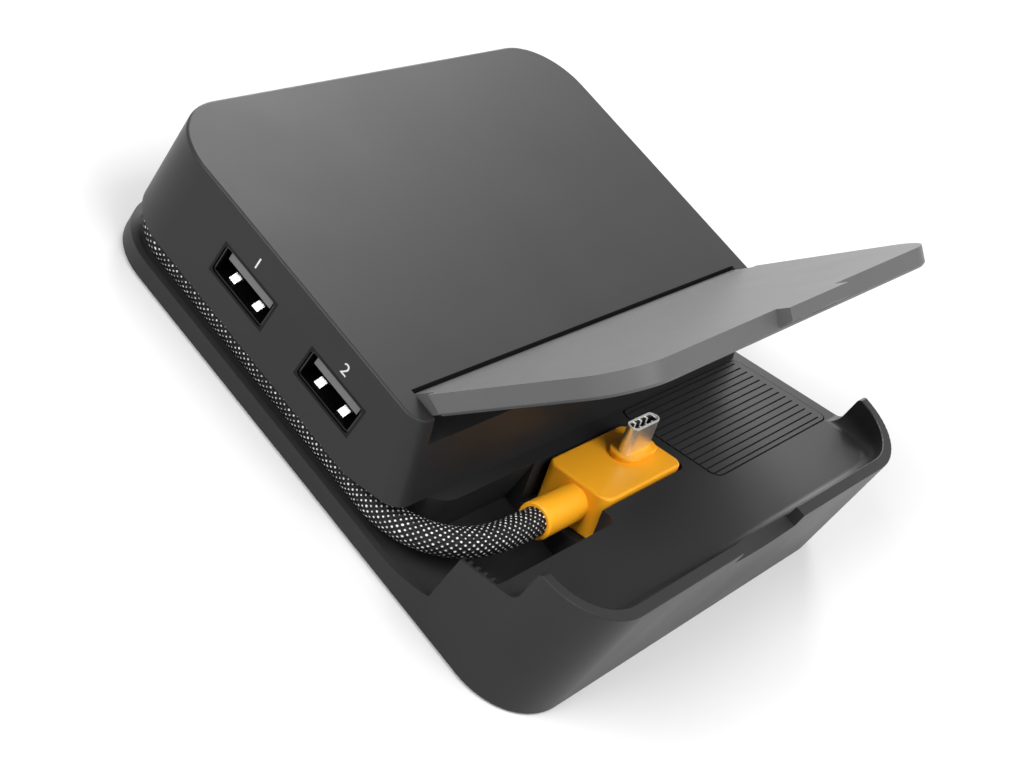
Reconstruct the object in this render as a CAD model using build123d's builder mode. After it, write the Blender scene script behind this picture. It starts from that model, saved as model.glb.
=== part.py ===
from build123d import *

import os
from math import cos, pi, radians, sin, tan

# A dock for a handheld games console. All sizes are in millimetres.
# Z is up, the floor is Z = 0 and the front is towards -Y.
# The origin lies on the floor under the centre of the plan outline.

# Outline of the dock
DOCK_WIDTH = 109.0
DOCK_DEPTH = 112.5
DOCK_HEIGHT = 26.5
PLAN_RADIUS = 13.0
FOOT_PROUD = 0.6
WALL = 2.2
SEAM = 0.15

# Lip round the front and the tray that slopes down behind it
LIP_THICKNESS = 2.15
LIP_DROP = 3.5
LIP_REACH = 13.7
LIP_TIP_RADIUS = 0.9
LIP_EDGE_RADIUS = 0.25
LIP_FOOT_RADIUS = 2.6
LIP_END_FOOT_RADIUS = 2.2
TRAY_ANGLE = 17.74
NOTCH_WIDTH = 21.0
NOTCH_DEPTH = 4.0
NOTCH_INNER_DEPTH = 3.1
NOTCH_SHOULDER = 2.9
NOTCH_LEAD = 1.4

# Cable channel round the waist
CHANNEL_TOP = 8.2
CHANNEL_FLOOR = 2.8
CHANNEL_WIDTH = 5.6
RIM_THICKNESS = 1.5
RIM_HEIGHT = 3.35
RIM_RISE_LENGTH = 11.0
RIM_RISE_HEIGHT = 2.45
LEFT_WALL_END = 24.5
RIGHT_WALL_END = 40.25

# Trough and plug pocket, measured from the front and in the slope of the tray
TROUGH_FRONT = 17.45
TROUGH_BACK = 34.9
TROUGH_RIGHT_X = -20.5
WAIST_CORNER_RADIUS = 6.0
RIB_COUNT = 5
RIB_PITCH = 1.55
RIB_GROOVE = 0.95
RIB_DEPTH = 0.7
RIB_START = 25.7

# Upper casing
BAY_DEPTH = 43.5
FACE_LEAN = 21.8
FACE_CORNER_RADIUS = 3.2
TOP_EDGE_RADIUS = 0.5
TOP_THICKNESS = 2.0
FLOOR_THICKNESS = 2.0

# Flap and hinge
FLAP_OPEN_ANGLE = 54.9
FLAP_LENGTH = 43.65
FLAP_THICKNESS = 3.7
FLAP_SIDE_INSET = 2.8
CHEEK_THICKNESS = 4.3
FLAP_STEP = 4.7
FLAP_CORNER_RADIUS = 9.5
TAB_SIDE_GAP = 0.4
TAB_LENGTH = 2.6
TAB_THICKNESS = 2.2
FLAP_EDGE_CHAMFER = 0.5
HINGE_DROP = 1.5
HINGE_SETBACK = 47.8
HINGE_SIDE_GAP = 0.3
HINGE_BACK_GAP = 0.3
LEDGE_GAP = 0.8
PIN_DIAMETER = 1.4
PIN_LENGTH = 6.2
PIN_PLAY = 0.03
BUSH_DIAMETER = 2.2
BUSH_LENGTH = 3.0

# Grip pad let into the tray
PAD_LEFT_X = 9.6
PAD_SIDE_INSET = 3.2
PAD_BACK = 12.2
PAD_FRONT = 34.4
PAD_THICKNESS = 1.2
PAD_PROUD = 0.1
PAD_GAP = 0.3
PAD_CORNER_RADIUS = 1.8
PAD_GROOVE_PITCH = 1.56
PAD_GROOVE_WIDTH = 0.35
PAD_GROOVE_DEPTH = 0.45

# Corner plug in its pocket
PLUG_LEFT_X = -18.2
PLUG_RIGHT_X = 6.2
PLUG_BACK = 15.2
PLUG_FRONT = 28.8
PLUG_THICKNESS = 9.0
PLUG_PROUD = 0.6
PLUG_CORNER_RADIUS = 2.0
PLUG_EDGE_RADIUS = 0.5
POCKET_BACK_GAP = 0.9
POCKET_FRONT_GAP = 0.5
POCKET_SIDE_GAP = 0.4
BOSS_LENGTH = 10.8
BOSS_WIDTH = 6.0
BOSS_HEIGHT = 1.0
CONNECTOR_X = -0.5
CONNECTOR_SLOPE = 21.5
CONNECTOR_LENGTH = 8.34
CONNECTOR_WIDTH = 2.56
CONNECTOR_HEIGHT = 6.6
CONNECTOR_SHEET = 0.3
CONNECTOR_ROOT = 3.0
NECK_DIAMETER = 6.8
NECK_LENGTH = 11.2
NECK_DROP = 4.3
NECK_SLOPE = 22.4
NECK_RECESS = 3.0

# Cable
CABLE_DIAMETER = 5.2
CABLE_PLAY = 0.05
CHANNEL_CABLE_LIFT = 0.1
GLAND_LENGTH = 6.0

# Sockets
SOCKET_SHEET = 0.3
SOCKET_SETBACK = 0.3
SOCKET_HOLE_GAP = 0.1
SIDE_OPENING_WIDTH = 12.5
SIDE_OPENING_HEIGHT = 5.12
SIDE_SOCKET_DEPTH = 13.9
SIDE_SOCKET_CENTRES = (58.75, 81.8)
SIDE_SOCKET_HEIGHT = 16.8
SIDE_TONGUE_WIDTH = 11.1
SIDE_TONGUE_THICKNESS = 1.5
SIDE_TONGUE_GAP = 0.7
SIDE_TONGUE_LENGTH = 10.0
SIDE_SPRING_OFFSET = 3.1
SIDE_SPRING_SIZE = 1.5
SIDE_CONTACT_OFFSETS = (-3.5, -1.0, 1.0, 3.5)
SIDE_CONTACT_WIDTH = 0.8
SIDE_CONTACT_THICKNESS = 0.15
VIDEO_OPENING_WIDTH = 14.0
VIDEO_OPENING_HEIGHT = 4.55
VIDEO_BEVEL = 1.6
VIDEO_SOCKET_DEPTH = 11.5
VIDEO_X = -16.0
POWER_OPENING_WIDTH = 8.34
POWER_OPENING_HEIGHT = 2.56
POWER_SOCKET_DEPTH = 7.3
POWER_X = 8.0
INSULATOR_DEPTH = 3.0

# Circuit board, chips and fasteners
BOARD_THICKNESS = 1.6
BOARD_SIDE_INSET = 4.5
BOARD_REAR_INSET = 5.75
BOARD_FRONT_GAP = 2.45
REAR_POST_INSETS = (24.5, 20.25)
FRONT_POST_XS = (-18.0, 24.0)
FRONT_POST_SETBACK = 14.45
POST_DIAMETER = 5.0
HUB_CHIP_X = -8.0
HUB_CHIP_REAR_INSET = 38.25
HUB_CHIP_SIZE = 9.0
VIDEO_CHIP_REAR_INSET = 22.25
VIDEO_CHIP_SIZE = 7.0
CHIP_HEIGHT = 0.9
PLATE_THICKNESS = 1.6
PLATE_INSET = 3.2
REAR_PLATE_SCREW_INSETS = (24.5, 18.25)
FRONT_PLATE_SCREW_INSETS = (14.5, 10.25)
PLATE_BOSS_DIAMETER = 6.4
PLATE_SCREW_REACH = 4.0
REAR_HOUSING_SCREW_INSETS = (14.5, 13.75)
FRONT_HOUSING_SCREW_INSET = 20.5
FRONT_HOUSING_SCREW_SETBACK = 4.95
HOUSING_SCREW_REACH = 6.0
HOUSING_BOSS_DIAMETER = 6.0
BOARD_BOSS_GAP = 0.5
BOARD_SCREW_REACH = 3.0
SCREW_END_GAP = 0.2
REAR_FOOT_INSETS = (12.5, 18.25)
FRONT_FOOT_INSETS = (22.5, 10.25)
FOOT_DIAMETER = 10.0
FOOT_THICKNESS = 1.4
SCREW_DIAMETER = 2.2
SCREW_HEAD_DIAMETER = 4.4
SCREW_HEAD_HEIGHT = 0.9
SCREW_PLAY = 0.1
BOARD_SCREW_DIAMETER = 1.8
BOARD_SCREW_HEAD_DIAMETER = 3.6

# Levels and faces that follow from these sizes
BASE_Z = FOOT_PROUD
TOP_Z = BASE_Z + DOCK_HEIGHT
WAIST_Z = BASE_Z + CHANNEL_TOP
CHANNEL_Z = BASE_Z + CHANNEL_FLOOR
RIM_Z = BASE_Z + RIM_HEIGHT
PLATE_TOP_Z = BASE_Z + PLATE_THICKNESS
SIDE_X = DOCK_WIDTH / 2
FRONT_Y = -DOCK_DEPTH / 2
REAR_Y = DOCK_DEPTH / 2
LIP_INNER_Y = FRONT_Y + LIP_THICKNESS
LIP_END_Y = FRONT_Y + LIP_REACH
LEFT_WALL_Y = FRONT_Y + LEFT_WALL_END
RIGHT_WALL_Y = FRONT_Y + RIGHT_WALL_END
TROUGH_FRONT_Y = FRONT_Y + TROUGH_FRONT
TROUGH_BACK_Y = FRONT_Y + TROUGH_BACK
WAIST_X = SIDE_X - RIM_THICKNESS - CHANNEL_WIDTH
WAIST_REAR_Y = REAR_Y - RIM_THICKNESS - CHANNEL_WIDTH
TRAY_SLOPE = tan(radians(TRAY_ANGLE))
KINK_Y = LIP_INNER_Y + (TOP_Z - LIP_DROP - WAIST_Z) / TRAY_SLOPE
FACE_TOP_Y = FRONT_Y + BAY_DEPTH
FACE_SLOPE = tan(radians(FACE_LEAN))
HINGE_Y = FRONT_Y + HINGE_SETBACK
HINGE_Z = TOP_Z - HINGE_DROP
RECESS_BACK_Y = HINGE_Y + HINGE_DROP + HINGE_BACK_GAP
LEDGE_Z = TOP_Z - FLAP_THICKNESS - LEDGE_GAP
SOCKET_Z = BASE_Z + SIDE_SOCKET_HEIGHT
BOARD_TOP_Z = SOCKET_Z - SIDE_OPENING_HEIGHT / 2 - SOCKET_SHEET
BOARD_Z = BOARD_TOP_Z - BOARD_THICKNESS
FLOOR_TOP_Z = WAIST_Z + FLOOR_THICKNESS
FLAP_HALF_WIDTH = SIDE_X - FLAP_SIDE_INSET
RECESS_HALF_WIDTH = SIDE_X - CHEEK_THICKNESS
FLAP_HINGE_HALF_WIDTH = RECESS_HALF_WIDTH - HINGE_SIDE_GAP
PAD_RIGHT_X = SIDE_X - PAD_SIDE_INSET
BOARD_WIDTH = DOCK_WIDTH - 2 * BOARD_SIDE_INSET
BOARD_FRONT_Y = HINGE_Y + BOARD_FRONT_GAP
BOARD_REAR_Y = REAR_Y - BOARD_REAR_INSET


def mirrored_pair(x, y):
    """The same place on the left and on the right."""
    return [(-x, y), (x, y)]


def rear_corners(insets):
    """Places in from the two rear corners of the dock."""
    return mirrored_pair(SIDE_X - insets[0], REAR_Y - insets[1])


def front_corners(insets):
    """Places in from the two front corners of the dock."""
    return mirrored_pair(SIDE_X - insets[0], FRONT_Y + insets[1])


PLATE_SCREWS = rear_corners(REAR_PLATE_SCREW_INSETS) + front_corners(FRONT_PLATE_SCREW_INSETS)
HOUSING_SCREWS = rear_corners(REAR_HOUSING_SCREW_INSETS) + mirrored_pair(
    SIDE_X - FRONT_HOUSING_SCREW_INSET, HINGE_Y + FRONT_HOUSING_SCREW_SETBACK
)
FOOT_CENTRES = rear_corners(REAR_FOOT_INSETS) + front_corners(FRONT_FOOT_INSETS)
BOARD_POSTS = rear_corners(REAR_POST_INSETS) + [
    (x, HINGE_Y + FRONT_POST_SETBACK) for x in FRONT_POST_XS
]
CHIPS = {
    "hub_chip": (HUB_CHIP_X, REAR_Y - HUB_CHIP_REAR_INSET, HUB_CHIP_SIZE),
    "video_chip": (VIDEO_X, REAR_Y - VIDEO_CHIP_REAR_INSET, VIDEO_CHIP_SIZE),
}

# The tray's plane: x runs right, y runs down the slope to the rear, z stands off the tray.
tray_plane = Plane(
    origin=(0, KINK_Y, WAIST_Z),
    x_dir=(1, 0, 0),
    z_dir=(0, sin(radians(TRAY_ANGLE)), cos(radians(TRAY_ANGLE))),
)

# The flap's plane at its resting angle: the hinge axis is x, and the flap reaches towards -y.
flap_plane = Plane(
    origin=(0, HINGE_Y, HINGE_Z),
    x_dir=(1, 0, 0),
    z_dir=(0, sin(radians(FLAP_OPEN_ANGLE)), cos(radians(FLAP_OPEN_ANGLE))),
)


def tray_z(y):
    """Height of the tray's plane at y."""
    return WAIST_Z - (y - KINK_Y) * TRAY_SLOPE


def face_y(z):
    """The leaning front face of the upper casing at height z."""
    return FACE_TOP_Y - (TOP_Z - z) * FACE_SLOPE


# Foot of the leaning face, where it meets the tray's plane
FACE_FOOT_Z = (WAIST_Z - TRAY_SLOPE * (FACE_TOP_Y - FACE_SLOPE * TOP_Z - KINK_Y)) / (
    1 + TRAY_SLOPE * FACE_SLOPE
)
FACE_FOOT_Y = face_y(FACE_FOOT_Z)

parts = {}


def finish(name, builder):
    """Label a finished piece and keep it for export."""
    builder.part.label = name
    parts[name] = builder.part


def round_end(width, height):
    """Corner radius that gives an outline of this width and height round ends."""
    return min(width, height) / 2 - 0.001


# Hollow inside the lip: its floor is the tray, blended into the lip all round
with BuildPart() as lip_hollow:
    with BuildSketch(Plane.XY.offset(WAIST_Z)):
        RectangleRounded(
            DOCK_WIDTH - 2 * LIP_THICKNESS,
            DOCK_DEPTH - 2 * LIP_THICKNESS,
            PLAN_RADIUS - LIP_THICKNESS,
        )
    extrude(amount=DOCK_HEIGHT)
    split(bisect_by=tray_plane, keep=Keep.TOP)
    split(bisect_by=Plane.XZ.offset(-LIP_END_Y - 2 * LIP_FOOT_RADIUS), keep=Keep.TOP)
    hollow_floor = lip_hollow.faces().sort_by(Axis((0, 0, 0), tray_plane.z_dir))[0]
    fillet(hollow_floor.edges().sort_by(Axis.Y)[:-1], LIP_FOOT_RADIUS)

# Thumb notch in the lip: nearly level on the inside, arched down on the outside
with BuildPart() as notch:
    for notch_y, notch_depth in (
        (LIP_INNER_Y + NOTCH_LEAD, NOTCH_INNER_DEPTH),
        (FRONT_Y, NOTCH_DEPTH),
    ):
        with BuildSketch(Plane.XZ.offset(-notch_y)):
            with BuildLine():
                left = (-NOTCH_WIDTH / 2, TOP_Z - NOTCH_SHOULDER)
                right = (NOTCH_WIDTH / 2, TOP_Z - NOTCH_SHOULDER)
                ThreePointArc(left, (0, TOP_Z - notch_depth), right)
                Polyline(right, (right[0], TOP_Z + 1), (left[0], TOP_Z + 1), left)
            make_face()
    loft(ruled=True)

# What is hollow under the base moulding: a seat for the bottom plate, and the space above it
with BuildPart() as underside:
    with BuildSketch(Plane.XY.offset(PLATE_TOP_Z)):
        with BuildLine():
            FilletPolyline(
                (-SIDE_X + WALL, FRONT_Y + WALL),
                (SIDE_X - WALL, FRONT_Y + WALL),
                (SIDE_X - WALL, RIGHT_WALL_Y - WALL),
                (WAIST_X - WALL, RIGHT_WALL_Y - WALL),
                (WAIST_X - WALL, WAIST_REAR_Y - WALL),
                (-WAIST_X + WALL, WAIST_REAR_Y - WALL),
                (-WAIST_X + WALL, TROUGH_BACK_Y + WALL),
                (PLUG_RIGHT_X + POCKET_SIDE_GAP + WALL, TROUGH_BACK_Y + WALL),
                (PLUG_RIGHT_X + POCKET_SIDE_GAP + WALL, TROUGH_FRONT_Y - WALL),
                (-SIDE_X + WALL, TROUGH_FRONT_Y - WALL),
                radius=[PLAN_RADIUS - WALL] * 2 + [1.0] * 2 + [3.0] * 3 + [1.0] * 3,
                close=True,
            )
        make_face()
        with Locations(*PLATE_SCREWS):
            Circle(PLATE_BOSS_DIAMETER / 2, mode=Mode.SUBTRACT)
    extrude(amount=DOCK_HEIGHT)
    with BuildSketch(Plane.YZ):
        with BuildLine():
            Polyline(
                (FRONT_Y, 0),
                (FRONT_Y, tray_z(FRONT_Y) - WALL),
                (KINK_Y, WAIST_Z - WALL),
                (REAR_Y, WAIST_Z - WALL),
                (REAR_Y, 0),
                close=True,
            )
        make_face()
    extrude(amount=SIDE_X, both=True, mode=Mode.INTERSECT)
    with BuildSketch(Plane.XY.offset(BASE_Z)):
        RectangleRounded(
            DOCK_WIDTH - 2 * PLATE_INSET, DOCK_DEPTH - 2 * PLATE_INSET, PLAN_RADIUS - PLATE_INSET
        )
    extrude(amount=PLATE_THICKNESS)


def channel_plan(level, inset, left_front_y):
    """Plan of the low ground round the waist, inset from the outline of the dock."""
    with BuildSketch(Plane.XY.offset(level)) as plan:
        RectangleRounded(DOCK_WIDTH - 2 * inset, DOCK_DEPTH - 2 * inset, PLAN_RADIUS - inset)
        with BuildLine():
            FilletPolyline(
                (-WAIST_X, TROUGH_BACK_Y),
                (WAIST_X, TROUGH_BACK_Y),
                (WAIST_X, WAIST_REAR_Y),
                (-WAIST_X, WAIST_REAR_Y),
                radius=[WAIST_CORNER_RADIUS, 1.0, *[PLAN_RADIUS - SIDE_X + WAIST_X] * 2],
                close=True,
            )
        make_face(mode=Mode.SUBTRACT)
        with BuildLine():
            FilletPolyline(
                (-DOCK_WIDTH, -DOCK_DEPTH),
                (DOCK_WIDTH, -DOCK_DEPTH),
                (DOCK_WIDTH, RIGHT_WALL_Y),
                (TROUGH_RIGHT_X, RIGHT_WALL_Y),
                (TROUGH_RIGHT_X, left_front_y),
                (-DOCK_WIDTH, left_front_y),
                radius=[0, 0, 0, 0, PLUG_CORNER_RADIUS, 0],
                close=True,
            )
        make_face(mode=Mode.SUBTRACT)
    return plan.sketch


channel_floor_plan = channel_plan(CHANNEL_Z, RIM_THICKNESS, TROUGH_FRONT_Y)
rim_plan = channel_plan(RIM_Z, 0, LEFT_WALL_Y + RIM_RISE_LENGTH)


# Lower moulding: tray, lip, cable channel, trough and plug pocket
with BuildPart() as base_tray:
    with BuildSketch(Plane.XY.offset(BASE_Z)):
        RectangleRounded(DOCK_WIDTH, DOCK_DEPTH, PLAN_RADIUS)
    extrude(amount=DOCK_HEIGHT)
    add(lip_hollow.part, mode=Mode.SUBTRACT)
    top_face = base_tray.faces().filter_by(Axis.Z).sort_by(Axis.Z)[-1]
    fillet(top_face.edges(), LIP_EDGE_RADIUS)
    # all above the tray goes, except the lip
    with BuildSketch(Plane.YZ):
        with BuildLine():
            FilletPolyline(
                (FRONT_Y - WALL, BASE_Z),
                (FRONT_Y - WALL, TOP_Z),
                (LIP_END_Y, TOP_Z),
                (LIP_END_Y, tray_z(LIP_END_Y)),
                (KINK_Y, WAIST_Z),
                (REAR_Y + WALL, WAIST_Z),
                (REAR_Y + WALL, BASE_Z),
                radius=[0, 0, LIP_TIP_RADIUS, LIP_END_FOOT_RADIUS, 0, 0, 0],
                close=True,
            )
        make_face()
    extrude(amount=SIDE_X, both=True, mode=Mode.INTERSECT)
    add(notch.part, mode=Mode.SUBTRACT)
    # channel, trough and the ground outside the rim
    extrude(channel_floor_plan, amount=DOCK_HEIGHT, mode=Mode.SUBTRACT)
    extrude(rim_plan, amount=DOCK_HEIGHT, mode=Mode.SUBTRACT)
    with BuildSketch(Plane.YZ.offset(-SIDE_X)) as rise:
        with BuildLine():
            rise_start = (LEFT_WALL_Y + RIM_RISE_LENGTH, RIM_Z)
            rise_end = (LEFT_WALL_Y, RIM_Z + RIM_RISE_HEIGHT)
            TangentArc(rise_start, rise_end, tangent=(-1, 0))
            Polyline(rise_end, (LEFT_WALL_Y, TOP_Z), (rise_start[0], TOP_Z), rise_start)
        make_face()
        fillet(rise.vertices().group_by(Axis.X)[0].sort_by(Axis.Y)[0], RIM_THICKNESS / 3)
    extrude(amount=RIM_THICKNESS, mode=Mode.SUBTRACT)
    # pocket for the plug, square to the tray
    with BuildSketch(tray_plane.offset(PLUG_PROUD - PLUG_THICKNESS)):
        with BuildLine():
            FilletPolyline(
                (TROUGH_RIGHT_X - 1, -PLUG_BACK + POCKET_BACK_GAP),
                (PLUG_RIGHT_X + POCKET_SIDE_GAP, -PLUG_BACK + POCKET_BACK_GAP),
                (PLUG_RIGHT_X + POCKET_SIDE_GAP, -PLUG_FRONT - POCKET_FRONT_GAP),
                (TROUGH_RIGHT_X - 1, -PLUG_FRONT - POCKET_FRONT_GAP),
                radius=[0, PLUG_CORNER_RADIUS, PLUG_CORNER_RADIUS, 0],
                close=True,
            )
        make_face()
    extrude(amount=2 * PLUG_THICKNESS, mode=Mode.SUBTRACT)
    # seat for the grip pad
    with BuildSketch(tray_plane.offset(PAD_PROUD - PAD_THICKNESS)):
        with Locations(((PAD_LEFT_X + PAD_RIGHT_X) / 2, -(PAD_BACK + PAD_FRONT) / 2)):
            RectangleRounded(
                PAD_RIGHT_X - PAD_LEFT_X + 2 * PAD_GAP,
                PAD_FRONT - PAD_BACK + 2 * PAD_GAP,
                PAD_CORNER_RADIUS + PAD_GAP,
            )
    extrude(amount=PAD_THICKNESS, mode=Mode.SUBTRACT)
    # finger ribs in the top of the left wall
    with BuildSketch(tray_plane.offset(-RIB_DEPTH)):
        for rib in range(RIB_COUNT):
            with Locations((-SIDE_X + RIM_THICKNESS, -RIB_START - rib * RIB_PITCH)):
                SlotOverall(2 * RIM_THICKNESS - 0.8, RIB_GROOVE)
    extrude(amount=2 * RIB_DEPTH, mode=Mode.SUBTRACT)
    add(underside.part, mode=Mode.SUBTRACT)
    # holes for the plate's screws, the casing's screws and the cable gland
    with Locations(*[(x, y, PLATE_TOP_Z) for x, y in PLATE_SCREWS]):
        Cylinder(
            SCREW_DIAMETER / 2,
            PLATE_SCREW_REACH + SCREW_END_GAP,
            align=(Align.CENTER, Align.CENTER, Align.MIN),
            mode=Mode.SUBTRACT,
        )
    with Locations(*[(x, y, WAIST_Z - WALL) for x, y in HOUSING_SCREWS]):
        Cylinder(
            SCREW_DIAMETER / 2 + SCREW_PLAY,
            WALL,
            align=(Align.CENTER, Align.CENTER, Align.MIN),
            mode=Mode.SUBTRACT,
        )
finish("base_tray", base_tray)

# Bottom plate with seats for the feet and the screw heads
with BuildPart() as bottom_plate:
    with BuildSketch(Plane.XY.offset(BASE_Z)):
        RectangleRounded(
            DOCK_WIDTH - 2 * PLATE_INSET - 2 * SEAM,
            DOCK_DEPTH - 2 * PLATE_INSET - 2 * SEAM,
            PLAN_RADIUS - PLATE_INSET - SEAM,
        )
    extrude(amount=PLATE_THICKNESS)
    with Locations(*[(x, y, BASE_Z) for x, y in FOOT_CENTRES]):
        Cylinder(
            FOOT_DIAMETER / 2 + SEAM,
            FOOT_THICKNESS - FOOT_PROUD,
            align=(Align.CENTER, Align.CENTER, Align.MIN),
            mode=Mode.SUBTRACT,
        )
    with Locations(*[(x, y, BASE_Z) for x, y in PLATE_SCREWS]):
        Cylinder(
            SCREW_DIAMETER / 2 + SCREW_PLAY,
            PLATE_THICKNESS,
            align=(Align.CENTER, Align.CENTER, Align.MIN),
            mode=Mode.SUBTRACT,
        )
        Cylinder(
            SCREW_HEAD_DIAMETER / 2 + SCREW_PLAY,
            SCREW_HEAD_HEIGHT,
            align=(Align.CENTER, Align.CENTER, Align.MIN),
            mode=Mode.SUBTRACT,
        )
finish("bottom_plate", bottom_plate)

# Four rubber feet
with BuildPart() as foot_pads:
    with Locations(*[(x, y, 0) for x, y in FOOT_CENTRES]):
        Cylinder(FOOT_DIAMETER / 2, FOOT_THICKNESS, align=(Align.CENTER, Align.CENTER, Align.MIN))
    fillet(foot_pads.edges().group_by(Axis.Z)[0], FOOT_PROUD / 2)
finish("foot_pads", foot_pads)


def screws(places, head_diameter, shank_diameter, shank_length, up):
    """Pan-head screws with cross recesses at (x, y, z of the head's seat). Their shanks go up or down."""
    sense = 1 if up else -1
    for x, y, z in places:
        low = z - sense * SCREW_HEAD_HEIGHT if up else z
        with Locations((x, y, low)):
            Cylinder(
                head_diameter / 2,
                SCREW_HEAD_HEIGHT,
                align=(Align.CENTER, Align.CENTER, Align.MIN),
            )
        with Locations((x, y, z if up else z - shank_length)):
            Cylinder(
                shank_diameter / 2,
                shank_length,
                align=(Align.CENTER, Align.CENTER, Align.MIN),
            )
        with Locations((x, y, z - sense * SCREW_HEAD_HEIGHT)):
            for turn in (0, 90):
                Box(
                    head_diameter * 0.55,
                    head_diameter * 0.14,
                    SCREW_HEAD_HEIGHT,
                    rotation=(0, 0, turn),
                    mode=Mode.SUBTRACT,
                )


with BuildPart() as bottom_screws:
    screws(
        [(x, y, BASE_Z + SCREW_HEAD_HEIGHT) for x, y in PLATE_SCREWS],
        SCREW_HEAD_DIAMETER,
        SCREW_DIAMETER,
        PLATE_THICKNESS - SCREW_HEAD_HEIGHT + PLATE_SCREW_REACH,
        up=True,
    )
finish("bottom_screws", bottom_screws)

# Grip pad: soft, with fine grooves that run out at its left end
with BuildPart() as grip_pad:
    with BuildSketch(tray_plane.offset(PAD_PROUD - PAD_THICKNESS)):
        with Locations(((PAD_LEFT_X + PAD_RIGHT_X) / 2, -(PAD_BACK + PAD_FRONT) / 2)):
            RectangleRounded(PAD_RIGHT_X - PAD_LEFT_X, PAD_FRONT - PAD_BACK, PAD_CORNER_RADIUS)
    extrude(amount=PAD_THICKNESS)
    groove_count = int((PAD_FRONT - PAD_BACK) / PAD_GROOVE_PITCH)
    with BuildSketch(tray_plane.offset(PAD_PROUD)):
        with Locations((PAD_LEFT_X, -(PAD_BACK + PAD_FRONT) / 2)):
            with GridLocations(0, PAD_GROOVE_PITCH, 1, groove_count):
                Rectangle(
                    PAD_RIGHT_X - PAD_LEFT_X - PAD_CORNER_RADIUS,
                    PAD_GROOVE_WIDTH,
                    align=(Align.MIN, Align.CENTER),
                )
    extrude(amount=-PAD_GROOVE_DEPTH, mode=Mode.SUBTRACT)
finish("grip_pad", grip_pad)


def video_outline(plane, grow):
    """The video socket's outline on a plane, bevelled below and grown by a margin."""
    width = VIDEO_OPENING_WIDTH / 2 + grow
    top = BOARD_TOP_Z + SOCKET_SHEET + VIDEO_OPENING_HEIGHT + grow
    bottom = BOARD_TOP_Z + SOCKET_SHEET - grow
    with BuildSketch(plane) as outline:
        with BuildLine():
            Polyline(
                (VIDEO_X - width, top),
                (VIDEO_X + width, top),
                (VIDEO_X + width, bottom + VIDEO_BEVEL),
                (VIDEO_X + width - VIDEO_BEVEL, bottom),
                (VIDEO_X - width + VIDEO_BEVEL, bottom),
                (VIDEO_X - width, bottom + VIDEO_BEVEL),
                close=True,
            )
        make_face()
    return outline.sketch


rear_mouth_y = REAR_Y - SOCKET_SETBACK
rear_outside = Plane.XZ.offset(-REAR_Y - 1)
video_mouth = Plane.XZ.offset(-rear_mouth_y)
video_back = Plane.XZ.offset(-rear_mouth_y + VIDEO_SOCKET_DEPTH - INSULATOR_DEPTH)
video_hole_outline = video_outline(rear_outside, SOCKET_SHEET + SOCKET_HOLE_GAP)
video_shell_outline = video_outline(video_mouth, SOCKET_SHEET)
video_opening_outline = video_outline(video_mouth, 0)
video_insulator_outline = video_outline(video_back, 0)
power_outer_width = POWER_OPENING_WIDTH + 2 * SOCKET_SHEET
power_outer_height = POWER_OPENING_HEIGHT + 2 * SOCKET_SHEET

# Inside of the upper casing
with BuildPart() as housing_hollow:
    with BuildSketch(Plane.YZ):
        with BuildLine():
            FilletPolyline(
                (face_y(0) + WALL, 0),
                (REAR_Y - WALL, 0),
                (REAR_Y - WALL, TOP_Z - TOP_THICKNESS),
                (RECESS_BACK_Y + WALL, TOP_Z - TOP_THICKNESS),
                (RECESS_BACK_Y + WALL, LEDGE_Z - TOP_THICKNESS),
                (face_y(LEDGE_Z - TOP_THICKNESS) + WALL, LEDGE_Z - TOP_THICKNESS),
                radius=[0, 0, 0, 0.8, 0.5, 0.5],
                close=True,
            )
        make_face()
    extrude(amount=SIDE_X - WALL, both=True)
    with BuildSketch():
        RectangleRounded(
            DOCK_WIDTH - 2 * WALL, DOCK_DEPTH - 2 * WALL, PLAN_RADIUS - WALL
        )
    extrude(amount=TOP_Z, mode=Mode.INTERSECT)

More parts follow.
